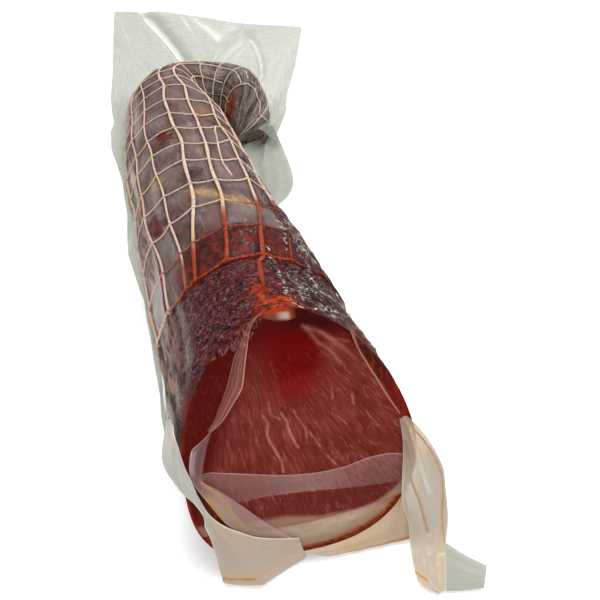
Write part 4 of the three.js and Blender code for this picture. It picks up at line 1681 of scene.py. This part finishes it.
# %% Places in front of the cut
def on_cut(points, out):
    """Places on the cut face, given across and up along the slant, standing out from the meat."""
    across, up = np.array(points, float).T
    out = np.asarray(out) + 0 * up
    return np.stack([
        across,
        up * math.sin(cut_tilt) - out * math.cos(cut_tilt),
        loin_base + up * math.cos(cut_tilt) + out * math.sin(cut_tilt),
    ], 1)


def between(first, last, share, push, count=40):
    """A line part of the way between two edges, pushed off by a fixed step."""
    near, far = curve_through(first, count), curve_through(last, count)
    return near + (far - near) * share + np.array(push, float)


def over_cut(first, last, out, rows, columns):
    """A sheet between two lines on the cut; out says how far its four lines stand off."""
    first_out, first_middle, last_middle, last_out = out
    middle = between(on_cut(first, first_middle), on_cut(last, last_middle), 0.5, 0)
    return rails([on_cut(first, first_out), middle, on_cut(last, last_out)], rows, columns)


def drawn_on(rows, line, width):
    """1 where a sheet meets a line drawn on the cut, fading within a width to 0."""
    level = rows[..., 1] * math.sin(cut_tilt) + (rows[..., 2] - loin_base) * math.cos(cut_tilt)
    places = np.stack([rows[..., 0], level], -1)
    line = curve_through(line, 60)
    away = np.linalg.norm(places[:, :, None] - line[None, None], axis=-1).min(-1)
    return ridge(away, 0, width)


# %% [markdown]
# ## The ribbon and the corner on the left
# A folded ribbon of film comes down the left of the cut, turns forward at the foot and ends
# in a corner that lies on the table. Film in several layers is milky, with a yellow crease
# where fat has got between them. Three lines, the two edges and the middle between them,
# carry the sheet, because it twists on its way.

# %% The ribbon and the corner on the left
ribbon_outer = [
    (-47.1, 45, 39), (-49.4, 38, 35.2), (-50.6, 30, 32.9), (-49.8, 22, 32.7), (-48.7, 19.2, 32.4),
    (-46, 15.4, 29.4), (-42.2, 12, 25.9), (-39.8, 9.1, 22.2), (-39.1, 6.6, 18.1), (-37.8, 2.2, 10.8),
    (-36.5, -2.4, 1.9), (-36.2, -3.3, 0.9), (-35.4, -3.7, 0.8), (-24, -7.7, 0.8), (-23.1, -7.9, 0.8),
    (-22.2, -7.5, 0.8), (-5.4, -0.6, 0.9),
]
ribbon_inner = [(-45.3, 45, 38.2), (-45.3, 28.2, 42.7), (-44, 22.9, 36.7), (-42.6, 18.5, 31.8)]
ribbon_inner += [(-40.2, 13.8, 25.8), (-37.6, 9.9, 21.6), (-32.7, 6.4, 17.9), (-28.1, 4.7, 15.7)]
ribbon_inner += [(-24.1, 3.3, 13.9), (-16.1, 2.1, 11.5), (-7.3, 1.3, 9.7)]
ribbon_middle = between(ribbon_outer, ribbon_inner, 0.5, (0, -0.5, 0.4))
rows = rails([ribbon_outer, list(ribbon_middle), ribbon_inner], 170, 44)
along, across = shares(rows)
waves = 0.25 * np.sin(along * 30 + across * 5) * smoothstep(along, 0.55, 0.4)
turn_fold = [(-39.1, 17.6), (-35, 9.7), (-33.3, 5.8), (-36.7, -1)]
turn_crease = [(-39.1, 17.6), (-37, 12.9), (-33.4, 7), (-34, 2.6), (-36.7, -1)]
rows = pushed(rows, waves + 0.5 * drawn_on(rows, turn_fold, 1.2))
creases = 1.5 * drawn_on(rows, [(-36.2, -2.2), (-31, -3.2), (-25.2, -4.1)], 0.32)
creases = creases + 0.22 * drawn_on(rows, turn_crease, 0.8)
creases = creases + 0.12 * drawn_on(rows, [(-36, -0.5), (-31, -1.6), (-26, -2.6)], 1.6)
# painted highlights along both edges of the ribbon
painted_gleam = 0.5 * ridge(across, 1.0, 0.02) + 0.4 * ridge(across, 0.0, 0.015)
veil = 0.8 - 0.1 * smoothstep(along, 0.5, 0.8)
warmth = 0.15 + 0.75 * smoothstep(along, 0.42, 0.7)
loose_sheet("bag_left_corner", rows, veil, creases, painted_gleam, warmth, finish=milky_material)

# %% [markdown]
# ## The corner on the right
# The right corner stands up beside the cut like an ear and runs out in a small clear tab. It
# is pleated along two lines, where it is yellow, and its top is so thin that the meat shows
# through. Four lines carry it, since its middle bulges more than its edges.

# %% The corner on the right
ear_left_top = [(39.3, 41), (39.2, 38), (38.8, 32.8), (38, 28.4), (35.2, 18.2), (33.3, 9.4)]
ear_left_top += [(34.3, 3.3), (33.7, -3.2)]
ear_left = list(on_cut(ear_left_top, [1.2, 1.5, 1.8, 2, 3, 4, 4, 4]))
ear_left += [(30.6, -18, 1.0), (30.2, -21.1, 0.8), (31.6, -24.5, 0.8), (34.8, -27.7, 0.8)]
ear_right_top = [(42.5, 41.5), (46, 37), (49.1, 31), (50.8, 26.1), (52.5, 20), (51.9, 11.4), (50.5, 0.3)]
ear_right = list(on_cut(ear_right_top, [0.8, 1, 2, 3, 3, 3, 3]))
ear_right += [(46.8, -9.1, 1.1), (42.4, -18, 0.8), (38, -27.3, 0.8)]
ear_near = between(ear_left, ear_right, 0.3, (0, -0.5, 0.5))
ear_far = between(ear_left, ear_right, 0.7, (0, 0.3, -0.1))
rows = rails([ear_left, list(ear_near), list(ear_far), ear_right], 170, 44)
along, across = shares(rows)
inner_line = [(38.9, 31), (38.9, 24.6), (38.8, 17.8), (40.1, 10), (41.3, -2.2)]
outer_line = [(43.4, 37.2), (46.2, 33), (48.8, 27.5), (51.2, 17.4), (50.7, 11.5), (48.2, 0.7), (46.6, -6.5)]
middle_line = [(42.5, 36), (43, 28), (43.2, 22), (44.6, 12)]
rows = pushed(rows, 0.5 * drawn_on(rows, inner_line, 0.9) - 0.4 * drawn_on(rows, middle_line, 1.2))
creases = 1.3 * drawn_on(rows, inner_line, 0.36) * smoothstep(along, 0.06, 0.3)
creases = creases + 1.4 * drawn_on(rows, outer_line, 0.34) * smoothstep(along, 0.0, 0.1)
creases = creases + 1.4 * drawn_on(rows, [(30.6, -12.4), (33.1, -15)], 0.4)
creases = creases + 0.24 * smoothstep(along, 0.3, 0.15) * smoothstep(across, 0.75, 0.45)
# painted highlights along both edges and along the middle line
painted_gleam = 0.4 * ridge(across, 1.0, 0.02) + 0.3 * ridge(across, 0.0, 0.02)
painted_gleam = painted_gleam + 0.25 * drawn_on(rows, middle_line, 0.8)
veil = 0.24 + 0.34 * smoothstep(along, 0.12, 0.36) + 0.2 * smoothstep(along, 0.5, 0.7)
veil = veil + 0.2 * smoothstep(across, 0.3, 0.6) * smoothstep(along, 0.6, 0.4)
warmth = 0.95 - 0.35 * smoothstep(along, 0.15, 0.35) * smoothstep(along, 0.75, 0.55)
loose_sheet("bag_right_corner", rows, veil, creases, painted_gleam, warmth, finish=milky_material)

tab_top = [(46.9, -8.6, 1.0), (51, -15, 0.8), (56.8, -22.2, 0.8)]
tab_low = [(38, -27.6, 0.7), (44, -29, 0.7), (51.3, -30.1, 0.7)]
rows = rails([tab_top, list(between(tab_top, tab_low, 0.5, (0, 0, 0.5))), tab_low], 50, 30)
loose_sheet("bag_right_tab", rows, 0.55, warmth=0.8)

# %% [markdown]
# ## The band over the cut
# A doubled band of film lies right across the cut above the fat, pink from the meat under
# it. It is a sheet between two lines on the face, barely off the meat, with a painted highlight along its
# upper edge.

# %% The band over the cut
band_top = [
    (-38.3, 33.3), (-37.7, 34.6), (-35.8, 34.9), (-31.2, 34), (-21, 31.6), (-10, 29.1), (0, 27.6),
    (13, 27.3), (27, 29.1), (33.8, 28.8), (40.5, 27.2),
]
band_low = [
    (-38.1, 32.2), (-36.9, 30.6), (-35.3, 28.8), (-31.2, 25.1), (-26.1, 22.6), (-19.1, 22.6),
    (-11, 22.2), (-1, 21.3), (9.4, 20.1), (19.7, 19.1), (29, 18.4), (38.5, 17.8),
]
rows = over_cut(band_low, band_top, (1.0, 1.3, 1.3, 1.2), 150, 26)
along, across = shares(rows)
veil = 0.055 + 0.09 * ridge(along, 0.5, 0.2) + 0.03 * across
# painted highlight along the band's upper edge
painted_gleam = 0.35 * ridge(across, 1.0, 0.03)
loose_sheet("bag_cut_band", rows, veil, painted_gleam=painted_gleam, thickness=0.2, finish=folded_material)

# %% [markdown]
# ## The pleat on the left of the cut
# From the top of the cut a pleat runs down its left side, where the film was gathered. Its
# two edges and softer ridges between them are painted highlights: its veil is a sum of
# ridges, each at its own share of the way across the sheet, and its fold line has a painted gleam too.

# %% The pleat on the left of the cut
fold_line = [
    (-7, 89), (-9.5, 87.5), (-12.5, 83.4), (-13.8, 79.8), (-14.8, 76.2), (-16.4, 70.9), (-19, 62.4),
    (-22.7, 57.9), (-25.4, 54.7), (-28.5, 51.6), (-33, 48.8),
]
pleat_back = [
    (-9, 88.4), (-12, 86.4), (-14.6, 82.4), (-17.1, 78.5), (-19.5, 75.1), (-21.6, 70.4),
    (-23.7, 65.4), (-26.4, 60.2), (-29, 55.6), (-31.2, 52.2), (-33.8, 49.6),
]
rows = over_cut(fold_line, pleat_back, (1.6, 2.3, 1.9, 1.0), 160, 24)
along, across = shares(rows)
# painted highlights: veil ridges along the edges and between them, and a gleam on the fold line
veil = 0.05 + 0.36 * ridge(across, 0.0, 0.1) + 0.14 * ridge(across, 1.0, 0.06)
veil = veil + 0.16 * ridge(across, 0.45, 0.05) + 0.1 * ridge(across, 0.25 + 0.1 * along, 0.04)
veil = veil + 0.08 * ridge(across, 0.7, 0.08)
painted_gleam = 0.15 * ridge(across, 0.0, 0.04)
loose_sheet("bag_cut_left_pleat", rows, veil, painted_gleam=painted_gleam, thickness=0.2, finish=pink_material)

# %% [markdown]
# ## The turned corner at the lower left
# Below the pleat the film turns over and crosses the lower left of the cut down to the fat.
# Juice with paprika has run into its folds, so it carries an orange streak and a wedge, which
# are drawn on it by the same function as the creases of the corners.

# %% The turned corner at the lower left
corner_line = [
    (-33, 48.8), (-37, 46), (-40.2, 44), (-41.8, 39.7), (-42.2, 35.5), (-40.8, 30.6), (-38.9, 27.1),
    (-36.4, 22.7), (-32.3, 16.2), (-26.2, 11.3), (-17.5, 8.4), (-9, 5),
]
corner_edge = [
    (-32.2, 49.2), (-33.9, 46.4), (-35.9, 41.4), (-37.3, 37.1), (-38.1, 32.2), (-35, 29.6),
    (-32, 27.1), (-26.3, 21.7), (-19.4, 14.8), (-14.8, 10.8), (-10.3, 6.8), (-8, 4.6),
]
orange_streak = [(-38.1, 32.2), (-35.4, 28.4), (-32.4, 24.7), (-28.3, 16.8), (-26.1, 12)]
orange_wedge = [(-37.4, 25.4), (-35.5, 21.6), (-33.6, 17.4)]
orange_haze = [(-37, 31), (-33, 22), (-29, 13)]
rows = over_cut(corner_edge, corner_line, (1.4, 1.9, 1.9, 1.6), 160, 40)
along, across = shares(rows)
lower = smoothstep(along, 0.35, 0.5)
veil = 0.1 + 0.3 * ridge(across, 1.0, 0.08) * (1 - 0.5 * lower)
veil = veil + lower * (0.12 + 0.2 * ridge(across, 0.0, 0.02) + 0.12 * smoothstep(across, 0.5, 0.7))
creases = 0.7 * drawn_on(rows, orange_streak, 0.6) + 0.85 * drawn_on(rows, orange_wedge, 1.1)
creases = creases + 0.24 * drawn_on(rows, orange_haze, 3.0)
warmth = lower * smoothstep(across, 0.3, 0.6)
loose_sheet("bag_cut_left_corner", rows, veil, creases, 0.0, warmth, 0.2, finish=folded_material)

# %% [markdown]
# ## The fold on the right of the cut
# A last narrow fold runs down the right edge of the cut, nearly clear but for its rim. It
# closes the film over the edge, so its far line lies almost on the meat.

# %% The fold on the right of the cut
fold_edge = [(26, 77), (27, 72), (30, 64), (33, 57), (36.8, 48.2), (39.5, 43)]
fold_back = [(31, 77), (32.5, 72), (36, 64), (39, 57), (42, 49.5), (43.5, 43)]
rows = over_cut(fold_edge, fold_back, (1.3, 1.6, 1.2, 0.4), 120, 18)
along, across = shares(rows)
veil = 0.004 + 0.3 * ridge(across, 0.0, 0.08)
creases = 0.2 * ridge(across, 0.0, 0.1) + 0.25 * ridge(across, 0.15, 0.08) * smoothstep(along, 0.2, 0.02)
loose_sheet("bag_cut_right_fold", rows, veil, creases, thickness=0.2, finish=pink_material)

# %% [markdown]
# ## The sheet under the loin
# The loin lies on the bag's lower layer. It shows only beside the hook, as a slack lobe with
# long raised folds. The sheet spans from the left foot to the lobe's edge, flat on the table
# where meat lies on it and rising in ridges where it is free.

# %% Film under the loin, with the lobe beside the folded end
lies_at = 0.8


def under_film():
    left_s = np.array([16, 80, 150, 220, 290, 360, 430, 470, 500, 530, 560, 585], float)
    left = skin(left_s, np.full_like(left_s, math.pi + 0.95), 0)
    left[:, 2] = lies_at
    right = [(30, 16), (30, 80), (28, 148), (27, 210), (26, 262), (52, 300), (77, 328), (88, 354)]
    right += [(94, 385), (98, 415), (101, 446), (106, 492)]
    right = np.array([(x, y, lies_at) for x, y in right])
    middle = (left + right) / 2
    rows = rails([list(left), list(middle), list(right)], 260, 60)
    along, across = shares(rows)
    open_part = smoothstep(along, 0.45, 0.62) * smoothstep(across, 0.3, 0.6)
    folds = 1.4 + 1.2 * np.sin(20 * across + 6 * along)
    folds += 4.5 * ridge(across, 0.7 + 0.05 * np.sin(9 * along), 0.03)
    folds += 5.5 * ridge(across, 0.8 - 0.05 * along, 0.025)
    folds += 4.5 * ridge(across, 0.92 - 0.04 * along, 0.022)
    rows[..., 2] += open_part * np.clip(folds, 0, 7) + 0.25 * np.sin(along * 60 + across * 12)
    return rows


loose_sheet("bag_under_film", under_film(), 0.42, warmth=0.5, thickness=0.25)

# %% [markdown]
# ## The strip under the foot of the cut
# Under the rind the two near corners meet in a narrow strip of crushed film, warm with the
# paprika that has run down. It starts under the rim of the fat and lies out on the table.

# %% Film under the foot of the cut
foot_back = list(skin(np.zeros(9), np.linspace(-1.62, -0.62, 9), -0.9) - np.array([0, 0.9, 0]))
foot_front = [(2, -2.2, 0.9), (9, -2.6, 0.8), (17, -2.8, 0.8), (25, -2.9, 0.8), (32, -3.1, 0.8)]
foot_front += [(35, -3.4, 1.2)]
foot_middle = between(foot_back, foot_front, 0.5, (0, -0.7, 0.7))
rows = rails([foot_back, foot_middle, foot_front], 110, 20)
along, across = shares(rows)
creases = 0.9 * ridge(across, 0.97, 0.035) * smoothstep(along, 0.1, 0.3)
creases = creases + 0.32 * smoothstep(along, 0.05, 0.3)
rows = pushed(rows, 0.15 * np.sin(along * 24 + 5 * across))
loose_sheet("bag_foot_film", rows, 0.8, creases, 0.0, 1.0, 0.25, finish=milky_material)

# %% [markdown]
# ## Floor and lights
# The floor is plain, pale and a little bright of itself, so that nothing draws the eye from
# the loin. One large soft light does the work, and a weaker one fills the front. Film is a
# mirror, though, and shows the lights themselves: two thin strips and four small squares give
# it narrow gleams and sparks, where broad lights would grey it all over.

# %% Floor
def stage_floor():
    bpy.ops.object.select_all(action="DESELECT")
    bpy.ops.mesh.primitive_plane_add(size=8, location=(0, 0, -0.0005))
    floor = bpy.context.object
    floor.name = "floor"
    finish = Finish("pale_floor")
    floor.data.materials.append(finish.done(finish.body({
        "Base Color": (0.95, 0.95, 0.95, 1), "Roughness": 0.9, "Specular IOR Level": 0.1,
        "Emission Color": (1, 1, 1, 1), "Emission Strength": 0.3,
    })))


stage_floor()

# %% Lights
loin_place = (0, 0, 0.05)
spark_size = (0.07, 0.07)


def area_light(name, location, target, size, power):
    """A rectangular light that looks from its place at its target, in metres and watts."""
    light = bpy.data.lights.new(name, "AREA")
    light.shape = "RECTANGLE"
    light.size, light.size_y = size
    light.energy = power
    holder = bpy.data.objects.new(name, light)
    bpy.context.scene.collection.objects.link(holder)
    holder.location = location
    aim = Vector(target) - Vector(location)
    holder.rotation_euler = aim.to_track_quat("-Z", "Y").to_euler()


area_light("top_softbox", (-0.25, 0.3, 1.5), loin_place, (0.7, 0.9), 15)
area_light("back_strip", (0.3, 1.4, 0.95), (0, 0.1, 0.05), (0.6, 0.03), 4)
area_light("right_strip", (0.9, -0.1, 0.9), loin_place, (0.03, 0.6), 4)
area_light("spark", (0.5, 0.5, 1.1), loin_place, spark_size, 2)
area_light("spark", (0.75, 0.1, 0.8), loin_place, spark_size, 1.5)
area_light("spark", (0.2, 1.0, 1.2), loin_place, spark_size, 1.5)
area_light("spark", (0.6, -0.5, 1.2), loin_place, spark_size, 1.5)
area_light("front_fill", (-0.5, -1.4, 0.9), (0, -0.2, 0.05), (0.5, 0.4), 6)
print(len(bpy.data.lights), "lights")

world = bpy.data.worlds.new("studio")
bpy.context.scene.world = world
world.use_nodes = True
sky = world.node_tree.nodes["Background"]
sky.inputs["Color"].default_value = (1, 1, 1, 1)
sky.inputs["Strength"].default_value = 0.36
bpy.context.scene.view_settings.view_transform = "Standard"

# %% [markdown]
# ## Camera
# The camera looks down on the cut from a little to its left, from less than a third of a
# metre, so near that the cut looks much larger than the folded end. Its place is given from
# the foot of the cut, in millimetres, as everything else is.

# %% Camera
camera_place = np.array([-55.9, -170.5, 218.05])
looks_down = 31.1
looks_right = 15.9
camera = bpy.data.cameras.new("camera")
camera.lens = 43.2
camera.sensor_width = 36
camera.clip_start = 0.01
eye = bpy.data.objects.new("camera", camera)
bpy.context.scene.collection.objects.link(eye)
eye.location = (camera_place + cut_foot) * mm
eye.rotation_euler = (math.radians(90 - looks_down), 0, math.radians(-looks_right))
bpy.context.scene.camera = eye
print("the camera is", round(float(np.linalg.norm(camera_place))), "mm from the foot of the cut")
